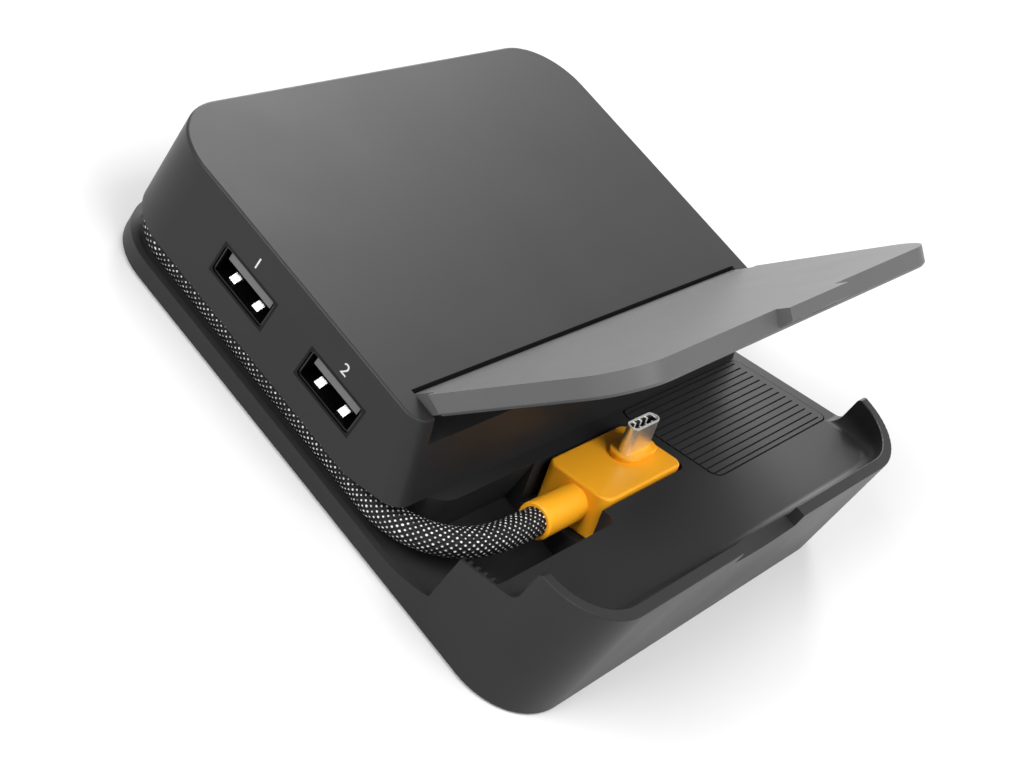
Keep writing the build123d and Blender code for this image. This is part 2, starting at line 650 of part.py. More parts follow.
# Upper casing: one shell, open below, with a rabbet for the flap and a hole for each socket
with BuildPart() as housing_shell:
    with BuildSketch(Plane.YZ):
        with BuildLine():
            Polyline(
                (KINK_Y, WAIST_Z),
                (REAR_Y, WAIST_Z),
                (REAR_Y, TOP_Z),
                (FACE_TOP_Y, TOP_Z),
                (FACE_FOOT_Y, FACE_FOOT_Z),
                close=True,
            )
        make_face()
    extrude(amount=SIDE_X, both=True)
    upright = housing_shell.edges().filter_by(Axis.Z).group_by(Axis.Y)[-1]
    fillet(upright, PLAN_RADIUS)
    leaning = [
        edge
        for edge in housing_shell.edges()
        if abs(edge.center().X) > SIDE_X - 0.1 and FACE_FOOT_Y < edge.center().Y < FACE_TOP_Y
    ]
    leaning = [edge for edge in leaning if abs(edge.tangent_at(0.5).Z) > 0.8]
    fillet(leaning, FACE_CORNER_RADIUS)
    fillet(housing_shell.faces().sort_by(Axis.Z)[-1].edges(), TOP_EDGE_RADIUS)
    # rabbet that takes the hinge end of the flap
    with BuildSketch(Plane.YZ):
        with BuildLine():
            Polyline(
                (RECESS_BACK_Y, TOP_Z + 1),
                (RECESS_BACK_Y, LEDGE_Z),
                (FACE_FOOT_Y, LEDGE_Z),
                (FACE_FOOT_Y, TOP_Z + 1),
                close=True,
            )
        make_face()
    extrude(amount=RECESS_HALF_WIDTH, both=True, mode=Mode.SUBTRACT)
    add(housing_hollow.part, mode=Mode.SUBTRACT)
    # screw bosses hang from the top down to the casing's floor
    for x, y in HOUSING_SCREWS:
        boss_top = TOP_Z - TOP_THICKNESS / 2
        with Locations((x, y, FLOOR_TOP_Z)):
            Cylinder(
                HOUSING_BOSS_DIAMETER / 2,
                boss_top - FLOOR_TOP_Z,
                align=(Align.CENTER, Align.CENTER, Align.MIN),
            )
            Cylinder(
                SCREW_DIAMETER / 2,
                HOUSING_SCREW_REACH + SCREW_END_GAP,
                align=(Align.CENTER, Align.CENTER, Align.MIN),
                mode=Mode.SUBTRACT,
            )
    # holes for the hinge bushes
    with BuildSketch(Plane.YZ):
        with Locations((HINGE_Y, HINGE_Z)):
            Circle(BUSH_DIAMETER / 2)
    extrude(amount=RECESS_HALF_WIDTH + BUSH_LENGTH, both=True, mode=Mode.SUBTRACT)
    # side sockets
    side_hole = (
        SIDE_OPENING_WIDTH + 2 * SOCKET_SHEET + 2 * SOCKET_HOLE_GAP,
        SIDE_OPENING_HEIGHT + 2 * SOCKET_SHEET + 2 * SOCKET_HOLE_GAP,
    )
    with BuildSketch(Plane.YZ.offset(-SIDE_X - 1)):
        with Locations(*[(FRONT_Y + back, SOCKET_Z) for back in SIDE_SOCKET_CENTRES]):
            RectangleRounded(*side_hole, SOCKET_SHEET + 0.5)
    extrude(amount=WALL + 2, mode=Mode.SUBTRACT)
    # rear sockets
    extrude(video_hole_outline, amount=WALL + 2, mode=Mode.SUBTRACT)
    with BuildSketch(rear_outside):
        with Locations((POWER_X, BOARD_TOP_Z + power_outer_height / 2)):
            RectangleRounded(
                power_outer_width + 2 * SOCKET_HOLE_GAP,
                power_outer_height + 2 * SOCKET_HOLE_GAP,
                round_end(power_outer_width, power_outer_height),
            )
    extrude(amount=WALL + 2, mode=Mode.SUBTRACT)
finish("housing_shell", housing_shell)

# Floor of the upper casing, let into its walls, with posts for the circuit board
with BuildPart() as housing_floor:
    with BuildSketch(Plane.YZ):
        with BuildLine():
            Polyline(
                (KINK_Y, WAIST_Z),
                (REAR_Y, WAIST_Z),
                (REAR_Y, FLOOR_TOP_Z),
                (KINK_Y, FLOOR_TOP_Z),
                (FACE_FOOT_Y, FACE_FOOT_Z + FLOOR_THICKNESS),
                (FACE_FOOT_Y, FACE_FOOT_Z),
                close=True,
            )
        make_face()
    extrude(amount=SIDE_X, both=True)
    with BuildSketch(Plane.YZ):
        with BuildLine():
            Polyline(
                (face_y(0) + WALL + SEAM, 0),
                (REAR_Y - WALL - SEAM, 0),
                (REAR_Y - WALL - SEAM, TOP_Z),
                (face_y(TOP_Z) + WALL + SEAM, TOP_Z),
                close=True,
            )
        make_face()
    extrude(amount=SIDE_X - WALL - SEAM, both=True, mode=Mode.INTERSECT)
    fillet(
        housing_floor.edges().filter_by(Axis.Z).group_by(Axis.Y)[-1], PLAN_RADIUS - WALL - SEAM
    )
    with Locations(*[(x, y, FLOOR_TOP_Z) for x, y in BOARD_POSTS]):
        Cylinder(
            POST_DIAMETER / 2,
            BOARD_Z - FLOOR_TOP_Z,
            align=(Align.CENTER, Align.CENTER, Align.MIN),
        )
    with Locations(*[(x, y, BOARD_Z) for x, y in BOARD_POSTS]):
        Cylinder(
            BOARD_SCREW_DIAMETER / 2,
            BOARD_SCREW_REACH + SCREW_END_GAP,
            align=(Align.CENTER, Align.CENTER, Align.MAX),
            mode=Mode.SUBTRACT,
        )
    with Locations(*[(x, y, WAIST_Z) for x, y in HOUSING_SCREWS]):
        Cylinder(
            SCREW_DIAMETER / 2 + SCREW_PLAY,
            FLOOR_THICKNESS,
            align=(Align.CENTER, Align.CENTER, Align.MIN),
            mode=Mode.SUBTRACT,
        )
finish("housing_floor", housing_floor)

with BuildPart() as housing_screws:
    screws(
        [(x, y, WAIST_Z - WALL) for x, y in HOUSING_SCREWS],
        SCREW_HEAD_DIAMETER,
        SCREW_DIAMETER,
        WALL + FLOOR_THICKNESS + HOUSING_SCREW_REACH,
        up=True,
    )
finish("housing_screws", housing_screws)

# Circuit board, with clearance round the casing's screw bosses
with BuildPart() as circuit_board:
    with BuildSketch(Plane.XY.offset(BOARD_Z)):
        with Locations((0, (BOARD_FRONT_Y + BOARD_REAR_Y) / 2)):
            Rectangle(BOARD_WIDTH, BOARD_REAR_Y - BOARD_FRONT_Y)
        chamfer_size = PLAN_RADIUS / 2
        with Locations(*HOUSING_SCREWS):
            Circle(HOUSING_BOSS_DIAMETER / 2 + BOARD_BOSS_GAP, mode=Mode.SUBTRACT)
        with Locations(*BOARD_POSTS):
            Circle(BOARD_SCREW_DIAMETER / 2 + SCREW_PLAY, mode=Mode.SUBTRACT)
    extrude(amount=BOARD_THICKNESS)
    board_corners = circuit_board.edges().filter_by(Axis.Z).filter_by(GeomType.LINE)
    board_corners = [
        edge
        for edge in board_corners
        if abs(edge.center().X) > BOARD_WIDTH / 2 - 0.1 and edge.center().Y > BOARD_REAR_Y - 0.1
    ]
    chamfer(board_corners, chamfer_size)
finish("circuit_board", circuit_board)

with BuildPart() as board_screws:
    screws(
        [(x, y, BOARD_TOP_Z) for x, y in BOARD_POSTS],
        BOARD_SCREW_HEAD_DIAMETER,
        BOARD_SCREW_DIAMETER,
        BOARD_THICKNESS + BOARD_SCREW_REACH,
        up=False,
    )
finish("board_screws", board_screws)

for chip_name, (chip_x, chip_y, chip_size) in CHIPS.items():
    with BuildPart() as chip:
        with Locations((chip_x, chip_y, BOARD_TOP_Z)):
            Box(
                chip_size,
                chip_size,
                CHIP_HEIGHT,
                align=(Align.CENTER, Align.CENTER, Align.MIN),
            )
        chamfer(chip.edges().group_by(Axis.Z)[-1], CHIP_HEIGHT / 6)
    finish(chip_name, chip)

# Backrest flap, open at its resting angle
flap_side = Plane(origin=flap_plane.origin, x_dir=flap_plane.y_dir, z_dir=flap_plane.x_dir)
# The hinge end of the flap fits between the cheeks, and the step there leans like the casing
with BuildPart() as ear_cut:
    with BuildSketch(flap_side):
        with BuildLine():
            Polyline(
                (-FLAP_STEP, HINGE_DROP),
                (-FLAP_STEP - FLAP_THICKNESS * FACE_SLOPE, HINGE_DROP - FLAP_THICKNESS),
                (2 * HINGE_DROP, HINGE_DROP - FLAP_THICKNESS),
                (2 * HINGE_DROP, HINGE_DROP),
                close=True,
            )
        make_face()
    extrude(amount=SIDE_X, both=True)
    with BuildSketch(flap_side):
        Circle(FLAP_LENGTH)
    extrude(amount=FLAP_HINGE_HALF_WIDTH, both=True, mode=Mode.SUBTRACT)

with BuildPart() as backrest_flap:
    with BuildSketch(flap_plane.offset(HINGE_DROP - FLAP_THICKNESS)):
        with BuildLine():
            FilletPolyline(
                (-FLAP_HALF_WIDTH, HINGE_DROP),
                (FLAP_HALF_WIDTH, HINGE_DROP),
                (FLAP_HALF_WIDTH, -FLAP_LENGTH),
                (-FLAP_HALF_WIDTH, -FLAP_LENGTH),
                radius=[0, 0, FLAP_CORNER_RADIUS, FLAP_CORNER_RADIUS],
                close=True,
            )
        make_face()
    extrude(amount=FLAP_THICKNESS)
    # the hinge edge is round above and mitred below, so that it turns in the rabbet
    with BuildSketch(flap_side):
        with BuildLine():
            knuckle_start = (0, HINGE_DROP)
            knuckle_end = (HINGE_DROP * cos(pi / 4), -HINGE_DROP * sin(pi / 4))
            ThreePointArc(
                knuckle_start,
                (HINGE_DROP * cos(pi / 8), HINGE_DROP * sin(pi / 8)),
                knuckle_end,
            )
            mitre = FLAP_THICKNESS - HINGE_DROP + knuckle_end[1]
            Polyline(
                knuckle_end,
                (knuckle_end[0] - mitre, HINGE_DROP - FLAP_THICKNESS),
                (-2 * FLAP_LENGTH, HINGE_DROP - FLAP_THICKNESS),
                (-2 * FLAP_LENGTH, HINGE_DROP),
                knuckle_start,
            )
        make_face()
    extrude(amount=FLAP_HALF_WIDTH, both=True, mode=Mode.INTERSECT)
    add(ear_cut.part, mode=Mode.SUBTRACT)
    under_face = backrest_flap.faces().sort_by(Axis((0, 0, 0), flap_plane.z_dir))[0]
    chamfer(under_face.edges().sort_by(Axis((0, 0, 0), flap_plane.y_dir))[:3], FLAP_EDGE_CHAMFER)
    # finger tab in the middle of the front edge, undercut below
    with BuildSketch(flap_side):
        with BuildLine():
            Polyline(
                (-FLAP_LENGTH + 1, HINGE_DROP),
                (-FLAP_LENGTH - TAB_LENGTH, HINGE_DROP),
                (-FLAP_LENGTH - TAB_LENGTH, HINGE_DROP - TAB_THICKNESS),
                (-FLAP_LENGTH, HINGE_DROP - TAB_THICKNESS - TAB_LENGTH / 3),
                (-FLAP_LENGTH + 1, HINGE_DROP - TAB_THICKNESS - TAB_LENGTH / 3),
                close=True,
            )
        make_face()
    extrude(amount=NOTCH_WIDTH / 2 - TAB_SIDE_GAP, both=True)
    # seats for the hinge pins
    with BuildSketch(flap_side.offset(-FLAP_HINGE_HALF_WIDTH)):
        Circle(PIN_DIAMETER / 2)
    extrude(amount=PIN_LENGTH / 2, mode=Mode.SUBTRACT)
    with BuildSketch(flap_side.offset(FLAP_HINGE_HALF_WIDTH)):
        Circle(PIN_DIAMETER / 2)
    extrude(amount=-PIN_LENGTH / 2, mode=Mode.SUBTRACT)
finish("backrest_flap", backrest_flap)

# Hinge pins, tight in the flap, and friction bushes, tight in the cheeks of the casing
for side_name, side in (("left", -1), ("right", 1)):
    pin_middle = side * FLAP_HINGE_HALF_WIDTH
    with BuildPart() as pin:
        with BuildSketch(Plane.YZ.offset(pin_middle - PIN_LENGTH / 2)):
            with Locations((HINGE_Y, HINGE_Z)):
                Circle(PIN_DIAMETER / 2)
        extrude(amount=PIN_LENGTH)
    finish("hinge_pin_" + side_name, pin)
    with BuildPart() as bush:
        with BuildSketch(Plane.YZ.offset(side * RECESS_HALF_WIDTH)):
            with Locations((HINGE_Y, HINGE_Z)):
                Circle(BUSH_DIAMETER / 2)
                Circle(PIN_DIAMETER / 2 + PIN_PLAY, mode=Mode.SUBTRACT)
        extrude(amount=side * BUSH_LENGTH)
    finish("hinge_bush_" + side_name, bush)


# Side sockets: a bent sheet shell with two springs, and an insulator that carries the contacts
for socket_name, back in zip(("front", "rear"), SIDE_SOCKET_CENTRES):
    centre_y = FRONT_Y + back
    mouth_x = -SIDE_X + SOCKET_SETBACK
    opening_floor_z = SOCKET_Z - SIDE_OPENING_HEIGHT / 2
    with BuildPart() as shell:
        with BuildSketch(Plane.YZ.offset(mouth_x)):
            with Locations((centre_y, SOCKET_Z)):
                RectangleRounded(
                    SIDE_OPENING_WIDTH + 2 * SOCKET_SHEET,
                    SIDE_OPENING_HEIGHT + 2 * SOCKET_SHEET,
                    SOCKET_SHEET + 0.3,
                )
                RectangleRounded(
                    SIDE_OPENING_WIDTH, SIDE_OPENING_HEIGHT, 0.3, mode=Mode.SUBTRACT
                )
        extrude(amount=SIDE_SOCKET_DEPTH)
        # springs bent up from the floor of the shell
        for spring_y in (centre_y - SIDE_SPRING_OFFSET, centre_y + SIDE_SPRING_OFFSET):
            with BuildSketch(Plane.XZ.offset(-spring_y)):
                with BuildLine():
                    Polyline(
                        (mouth_x + 1.2, opening_floor_z),
                        (mouth_x + 2.6, opening_floor_z + 1.0),
                        (mouth_x + 3.4, opening_floor_z + 1.0),
                        (mouth_x + 7.0, opening_floor_z),
                        close=True,
                    )
                make_face()
            extrude(amount=SIDE_SPRING_SIZE / 2, both=True)
    finish("side_socket_" + socket_name, shell)
    tongue_top_z = SOCKET_Z + SIDE_OPENING_HEIGHT / 2 - SIDE_TONGUE_GAP
    with BuildPart() as tongue:
        with BuildSketch(Plane.YZ.offset(mouth_x + SIDE_SOCKET_DEPTH - INSULATOR_DEPTH)):
            with Locations((centre_y, SOCKET_Z)):
                RectangleRounded(SIDE_OPENING_WIDTH, SIDE_OPENING_HEIGHT, 0.3)
        extrude(amount=INSULATOR_DEPTH)
        with BuildSketch(Plane.YZ.offset(mouth_x + SIDE_SOCKET_DEPTH - INSULATOR_DEPTH)):
            with Locations((centre_y, tongue_top_z)):
                Rectangle(
                    SIDE_TONGUE_WIDTH, SIDE_TONGUE_THICKNESS, align=(Align.CENTER, Align.MAX)
                )
        extrude(amount=-SIDE_TONGUE_LENGTH)
    finish("side_tongue_" + socket_name, tongue)
    with BuildPart() as contacts:
        for offset_y in SIDE_CONTACT_OFFSETS:
            with Locations(
                (
                    mouth_x + SIDE_SOCKET_DEPTH - INSULATOR_DEPTH - SIDE_TONGUE_LENGTH + 1,
                    centre_y + offset_y,
                    tongue_top_z - SIDE_TONGUE_THICKNESS,
                )
            ):
                Box(
                    SIDE_TONGUE_LENGTH - 1,
                    SIDE_CONTACT_WIDTH,
                    SIDE_CONTACT_THICKNESS,
                    align=(Align.MIN, Align.CENTER, Align.MAX),
                )
    finish("side_contacts_" + socket_name, contacts)


# Video socket in the rear wall
with BuildPart() as video_socket:
    extrude(video_shell_outline, amount=VIDEO_SOCKET_DEPTH)
    extrude(video_opening_outline, amount=VIDEO_SOCKET_DEPTH, mode=Mode.SUBTRACT)
finish("video_socket", video_socket)

with BuildPart() as video_tongue:
    extrude(video_insulator_outline, amount=INSULATOR_DEPTH)
    with BuildSketch(video_back):
        with Locations((VIDEO_X, BOARD_TOP_Z + SOCKET_SHEET + VIDEO_OPENING_HEIGHT / 2)):
            Rectangle(VIDEO_OPENING_WIDTH - 2 * VIDEO_BEVEL, VIDEO_OPENING_HEIGHT / 3)
    extrude(amount=-VIDEO_SOCKET_DEPTH + INSULATOR_DEPTH + 2)
finish("video_tongue", video_tongue)

# Power inlet in the rear wall
power_centre_z = BOARD_TOP_Z + SOCKET_SHEET + POWER_OPENING_HEIGHT / 2
with BuildPart() as power_socket:
    with BuildSketch(Plane.XZ.offset(-rear_mouth_y)):
        with Locations((POWER_X, power_centre_z)):
            RectangleRounded(
                power_outer_width,
                power_outer_height,
                round_end(power_outer_width, power_outer_height),
            )
            RectangleRounded(
                POWER_OPENING_WIDTH,
                POWER_OPENING_HEIGHT,
                round_end(POWER_OPENING_WIDTH, POWER_OPENING_HEIGHT),
                mode=Mode.SUBTRACT,
            )
    extrude(amount=POWER_SOCKET_DEPTH)
finish("power_socket", power_socket)

with BuildPart() as power_tongue:
    with BuildSketch(Plane.XZ.offset(-rear_mouth_y + POWER_SOCKET_DEPTH - INSULATOR_DEPTH / 2)):
        with Locations((POWER_X, power_centre_z)):
            RectangleRounded(
                POWER_OPENING_WIDTH,
                POWER_OPENING_HEIGHT,
                round_end(POWER_OPENING_WIDTH, POWER_OPENING_HEIGHT),
            )
    extrude(amount=INSULATOR_DEPTH / 2)
    with BuildSketch(Plane.XZ.offset(-rear_mouth_y + POWER_SOCKET_DEPTH - INSULATOR_DEPTH / 2)):
        with Locations((POWER_X, power_centre_z)):
            Rectangle(POWER_OPENING_WIDTH - POWER_OPENING_HEIGHT / 2, POWER_OPENING_HEIGHT / 3.6)
    extrude(amount=-POWER_SOCKET_DEPTH + INSULATOR_DEPTH / 2 + 1)
finish("power_tongue", power_tongue)

# Plug body, square to the tray, with a boss round the connector and a neck for the cable
plug_middle = ((PLUG_LEFT_X + PLUG_RIGHT_X) / 2, -(PLUG_BACK + PLUG_FRONT) / 2)
neck_plane = Plane(
    origin=tray_plane.from_local_coords((PLUG_LEFT_X, -NECK_SLOPE, PLUG_PROUD - NECK_DROP)),
    x_dir=(0, 1, 0),
    z_dir=(-1, 0, 0),
)
with BuildPart() as plug_body:
    with BuildSketch(tray_plane.offset(PLUG_PROUD - PLUG_THICKNESS)):
        with Locations(plug_middle):
            RectangleRounded(
                PLUG_RIGHT_X - PLUG_LEFT_X, PLUG_FRONT - PLUG_BACK, PLUG_CORNER_RADIUS
            )
    extrude(amount=PLUG_THICKNESS)
    plug_axis = Axis((0, 0, 0), tray_plane.z_dir)
    fillet(plug_body.faces().sort_by(plug_axis)[-1].edges(), PLUG_EDGE_RADIUS)
    fillet(plug_body.faces().sort_by(plug_axis)[0].edges(), PLUG_EDGE_RADIUS)
    with BuildSketch(tray_plane.offset(PLUG_PROUD)):
        with Locations((CONNECTOR_X, -CONNECTOR_SLOPE)):
            RectangleRounded(BOSS_LENGTH, BOSS_WIDTH, round_end(BOSS_LENGTH, BOSS_WIDTH))
    extrude(amount=BOSS_HEIGHT)
    fillet(plug_body.faces().sort_by(plug_axis)[-1].edges(), PLUG_EDGE_RADIUS / 2)
    with BuildSketch(neck_plane.offset(-PLUG_CORNER_RADIUS)):
        Circle(NECK_DIAMETER / 2)
    extrude(amount=NECK_LENGTH + PLUG_CORNER_RADIUS)
    with BuildSketch(neck_plane.offset(NECK_LENGTH)):
        Circle(CABLE_DIAMETER / 2 + CABLE_PLAY)
    extrude(amount=-NECK_RECESS, mode=Mode.SUBTRACT)
    neck_end = plug_body.edges().filter_by(GeomType.CIRCLE).sort_by(Axis.X)[0:2]
    chamfer(neck_end.sort_by(SortBy.RADIUS)[-1], CONNECTOR_SHEET)
    with BuildSketch(tray_plane.offset(PLUG_PROUD + BOSS_HEIGHT)):
        with Locations((CONNECTOR_X, -CONNECTOR_SLOPE)):
            RectangleRounded(
                CONNECTOR_LENGTH, CONNECTOR_WIDTH, round_end(CONNECTOR_LENGTH, CONNECTOR_WIDTH)
            )
    extrude(amount=-CONNECTOR_ROOT, mode=Mode.SUBTRACT)
finish("plug_body", plug_body)

# The plug's metal shell and the insulator in it, with the slot that takes a socket's tongue
connector_base = tray_plane.offset(PLUG_PROUD + BOSS_HEIGHT - CONNECTOR_ROOT)
connector_reach = CONNECTOR_HEIGHT - BOSS_HEIGHT + CONNECTOR_ROOT
inner_length = CONNECTOR_LENGTH - 2 * CONNECTOR_SHEET
inner_width = CONNECTOR_WIDTH - 2 * CONNECTOR_SHEET
with BuildPart() as plug_shell:
    with BuildSketch(connector_base):
        with Locations((CONNECTOR_X, -CONNECTOR_SLOPE)):
            RectangleRounded(
                CONNECTOR_LENGTH, CONNECTOR_WIDTH, round_end(CONNECTOR_LENGTH, CONNECTOR_WIDTH)
            )
            RectangleRounded(
                inner_length,
                inner_width,
                round_end(inner_length, inner_width),
                mode=Mode.SUBTRACT,
            )
    extrude(amount=connector_reach)
finish("plug_shell", plug_shell)

with BuildPart() as plug_insulator:
    with BuildSketch(connector_base):
        with Locations((CONNECTOR_X, -CONNECTOR_SLOPE)):
            RectangleRounded(inner_length, inner_width, round_end(inner_length, inner_width))
    extrude(amount=connector_reach - CONNECTOR_SHEET)
    with BuildSketch(connector_base.offset(connector_reach - CONNECTOR_SHEET)):
        with Locations((CONNECTOR_X, -CONNECTOR_SLOPE)):
            RectangleRounded(inner_length - 1.0, inner_width - 1.1, inner_width / 6)
    extrude(amount=-CONNECTOR_HEIGHT + 2 * BOSS_HEIGHT, mode=Mode.SUBTRACT)
finish("plug_insulator", plug_insulator)

# Cable: from the plug over the rim into the channel, round the rear of the waist, to the gland
cable_start = neck_plane.from_local_coords((0, 0, NECK_LENGTH - NECK_RECESS))
lane_x = SIDE_X - RIM_THICKNESS - CHANNEL_WIDTH / 2
lane_y = REAR_Y - RIM_THICKNESS - CHANNEL_WIDTH / 2
lane_z = CHANNEL_Z + CHANNEL_CABLE_LIFT + CABLE_DIAMETER / 2
lane_radius = PLAN_RADIUS - RIM_THICKNESS - CHANNEL_WIDTH / 2
corner_reach = lane_radius * (1 - tan(pi / 8))
gland_y = RIGHT_WALL_Y + GLAND_LENGTH
cable_route = [
    (cable_start.X, cable_start.Y, cable_start.Z),
    (cable_start.X - 7.2, cable_start.Y, cable_start.Z),
    (-lane_x + 9.3, cable_start.Y + 0.8, lane_z + 5.4),
    (-lane_x + 3.8, cable_start.Y + 3.4, lane_z + 4.2),
    (-lane_x + 0.2, cable_start.Y + 8.4, lane_z + 2.4),
    (-lane_x - 0.9, cable_start.Y + 14.3, lane_z + 0.8),
    (-lane_x - 0.2, cable_start.Y + 20.1, lane_z + 0.05),
    (-lane_x, cable_start.Y + 26.9, lane_z),
    (-lane_x, lane_y - corner_reach, lane_z),
    (-lane_x + corner_reach, lane_y, lane_z),
    (lane_x - corner_reach, lane_y, lane_z),
    (lane_x, lane_y - corner_reach, lane_z),
    (lane_x, gland_y, lane_z),
]


def arc_radii(route):
    """Radius for each corner: 0.45 of the shorter run, over the tangent of half the turn."""
    radii = []
    for before, here, after in zip(route, route[1:], route[2:]):
        run_in = Vector(here) - Vector(before)
        run_out = Vector(after) - Vector(here)
        turn = radians(run_in.get_angle(run_out))
        radii.append(0.45 * min(run_in.length, run_out.length) / tan(turn / 2))
    return radii


cable_radii = arc_radii(cable_route)
with BuildPart() as cable:
    with BuildLine() as cable_path:
        FilletPolyline(*cable_route, radius=cable_radii)
    with BuildSketch(Plane(origin=cable_path.line @ 0, z_dir=cable_path.line % 0)):
        Circle(CABLE_DIAMETER / 2)
    sweep()
finish("cable", cable)
cable_length = sum(edge.length for edge in cable_path.edges())
section_volume = pi * CABLE_DIAMETER**2 / 4 * cable_length
print("cable radii", [round(radius, 1) for radius in cable_radii])
print("cable length", round(cable_length, 1), "volume ratio", cable.part.volume / section_volume)
print("cable route", [tuple(round(value, 2) for value in point) for point in cable_route])

# Gland where the cable goes in, seated on the end wall of the right channel
with BuildPart() as cable_gland:
    with BuildSketch(Plane.XZ.offset(-gland_y)):
        with Locations((lane_x, lane_z)):
            RectangleRounded(
                CHANNEL_WIDTH - 2 * SEAM, CABLE_DIAMETER, CABLE_DIAMETER / 2 - 0.3
            )
    extrude(amount=GLAND_LENGTH)
    for groove in range(3):
        groove_y = gland_y - 1.2 - groove * 1.5
        with BuildSketch(Plane.XZ.offset(-groove_y)):
            with Locations((lane_x, lane_z)):
                Rectangle(CHANNEL_WIDTH, CABLE_DIAMETER + 1)
                RectangleRounded(
                    CHANNEL_WIDTH - 1.2, CABLE_DIAMETER - 0.9, 1.6, mode=Mode.SUBTRACT
                )
        extrude(amount=0.7, mode=Mode.SUBTRACT)
finish("cable_gland", cable_gland)

os.makedirs("parts", exist_ok=True)
for part_name, part in parts.items():
    export_step(part, f"parts/{part_name}.step")
print(len(parts), "pieces")
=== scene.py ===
# %% [markdown]
# A dock for a handheld games console: a low square body with a cable channel round its waist,
# a tray with a lip in front, a flap that stands up as a backrest and a corner plug in a pocket.
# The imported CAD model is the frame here. This script gives every piece its surface, makes the
# braided cable anew, and sets up the light and the camera.

import math

import bmesh
import bpy
from mathutils import Matrix, Vector


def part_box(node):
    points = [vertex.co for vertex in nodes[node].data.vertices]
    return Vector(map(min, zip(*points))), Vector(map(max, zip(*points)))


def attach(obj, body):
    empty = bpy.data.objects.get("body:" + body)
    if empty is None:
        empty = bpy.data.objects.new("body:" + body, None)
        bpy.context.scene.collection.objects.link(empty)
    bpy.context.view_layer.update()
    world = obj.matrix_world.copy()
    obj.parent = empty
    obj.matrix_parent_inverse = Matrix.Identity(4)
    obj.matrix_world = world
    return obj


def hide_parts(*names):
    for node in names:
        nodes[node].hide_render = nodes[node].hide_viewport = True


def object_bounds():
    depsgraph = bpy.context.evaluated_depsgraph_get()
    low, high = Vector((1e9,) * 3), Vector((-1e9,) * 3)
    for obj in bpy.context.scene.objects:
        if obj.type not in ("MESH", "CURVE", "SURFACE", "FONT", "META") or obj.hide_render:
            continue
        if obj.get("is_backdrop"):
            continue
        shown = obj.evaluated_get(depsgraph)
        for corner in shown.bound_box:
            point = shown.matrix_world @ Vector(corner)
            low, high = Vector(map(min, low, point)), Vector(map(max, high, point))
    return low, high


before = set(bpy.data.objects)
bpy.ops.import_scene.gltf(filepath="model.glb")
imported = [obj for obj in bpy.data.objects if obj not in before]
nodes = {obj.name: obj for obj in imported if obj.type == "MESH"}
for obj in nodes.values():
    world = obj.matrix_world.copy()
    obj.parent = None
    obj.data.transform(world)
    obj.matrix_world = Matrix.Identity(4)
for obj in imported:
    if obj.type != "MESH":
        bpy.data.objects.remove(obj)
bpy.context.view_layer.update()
scene = bpy.context.scene
MM = 0.001

# %% [markdown]
# The camera stands on the left, a little in front and a third of a metre away. A lens half as long
# again as the normal one keeps the far edges nearly as long as the near ones, as in product
# pictures. Its turn is written as the directions of its own right and up axes, which were fitted
# to the edges and corners of the real object.

# %% Camera
CAMERA_PLACE = (-0.2765, -0.09116, 0.21401)
CAMERA_RIGHT = Vector((0.5872, -0.6270, 0.5119))
CAMERA_UP = Vector((0.2401, 0.7389, 0.6296))
LENS_MM = 68.61
SENSOR_MM = 36.0

camera_data = bpy.data.cameras.new("camera")
camera_data.lens = LENS_MM
camera_data.sensor_width = SENSOR_MM
camera_data.clip_start = 0.01
camera_data.clip_end = 20.0
camera = bpy.data.objects.new("camera", camera_data)
scene.collection.objects.link(camera)
scene.camera = camera
camera_back = CAMERA_RIGHT.cross(CAMERA_UP).normalized()
turn = Matrix((CAMERA_RIGHT.normalized(), CAMERA_UP.normalized(), camera_back)).transposed()
camera.matrix_world = Matrix.Translation(CAMERA_PLACE) @ turn.to_4x4()
print("camera looks along", tuple(round(-c, 3) for c in camera_back))

# %% [markdown]
# The cable is one fixed length of stiff round cord, jacketed with a braid. It leaves the neck of
# the plug, turns down through the trough, and lies in the channel round the waist to a gland on
# the right. A smooth spline led by few control points gives the easy bends of a real cable, where
# a line through many points would look like bent wire. The four points that are not corners of the
# route keep the long runs straight up to the bends.

# %% Cable
CABLE_DIAMETER = 5.2 * MM
CABLE_ROUTE = [
    (-0.0264, -0.03033, 0.0121),
    (-0.0336, -0.03033, 0.0121),
    (-0.0409, -0.02953, 0.0115),
    (-0.0464, -0.02693, 0.0103),
    (-0.0500, -0.02193, 0.0085),
    (-0.0511, -0.01603, 0.0069),
    (-0.0504, -0.01023, 0.00615),
    (-0.0502, -0.00343, 0.0061),
    (-0.0502, 0.0397, 0.0061),
    (-0.0502, 0.04685, 0.0061),
    (-0.0451, 0.05195, 0.0061),
    (-0.0380, 0.05195, 0.0061),
    (0.0380, 0.05195, 0.0061),
    (0.0451, 0.05195, 0.0061),
    (0.0502, 0.04685, 0.0061),
    (0.0502, 0.0397, 0.0061),
    (0.0502, -0.0100, 0.0061),
]


def route_spline(name, points):
    """A smooth line led by control points."""
    curve = bpy.data.curves.new(name, "CURVE")
    curve.dimensions = "3D"
    spline = curve.splines.new("NURBS")
    spline.points.add(len(points) - 1)
    for control, place in zip(spline.points, points):
        control.co = (*place, 1.0)
    spline.order_u = 3
    spline.use_endpoint_u = True
    spline.resolution_u = 12
    return curve


line = bpy.data.objects.new("route_line", route_spline("route_line", CABLE_ROUTE))
line_mesh = bpy.data.meshes.new_from_object(line)
route = [vertex.co.copy() for vertex in line_mesh.vertices]
bpy.data.objects.remove(line)
route_length = sum((a - b).length for a, b in zip(route, route[1:]))
print("cable route", len(route), "points", round(route_length, 4))

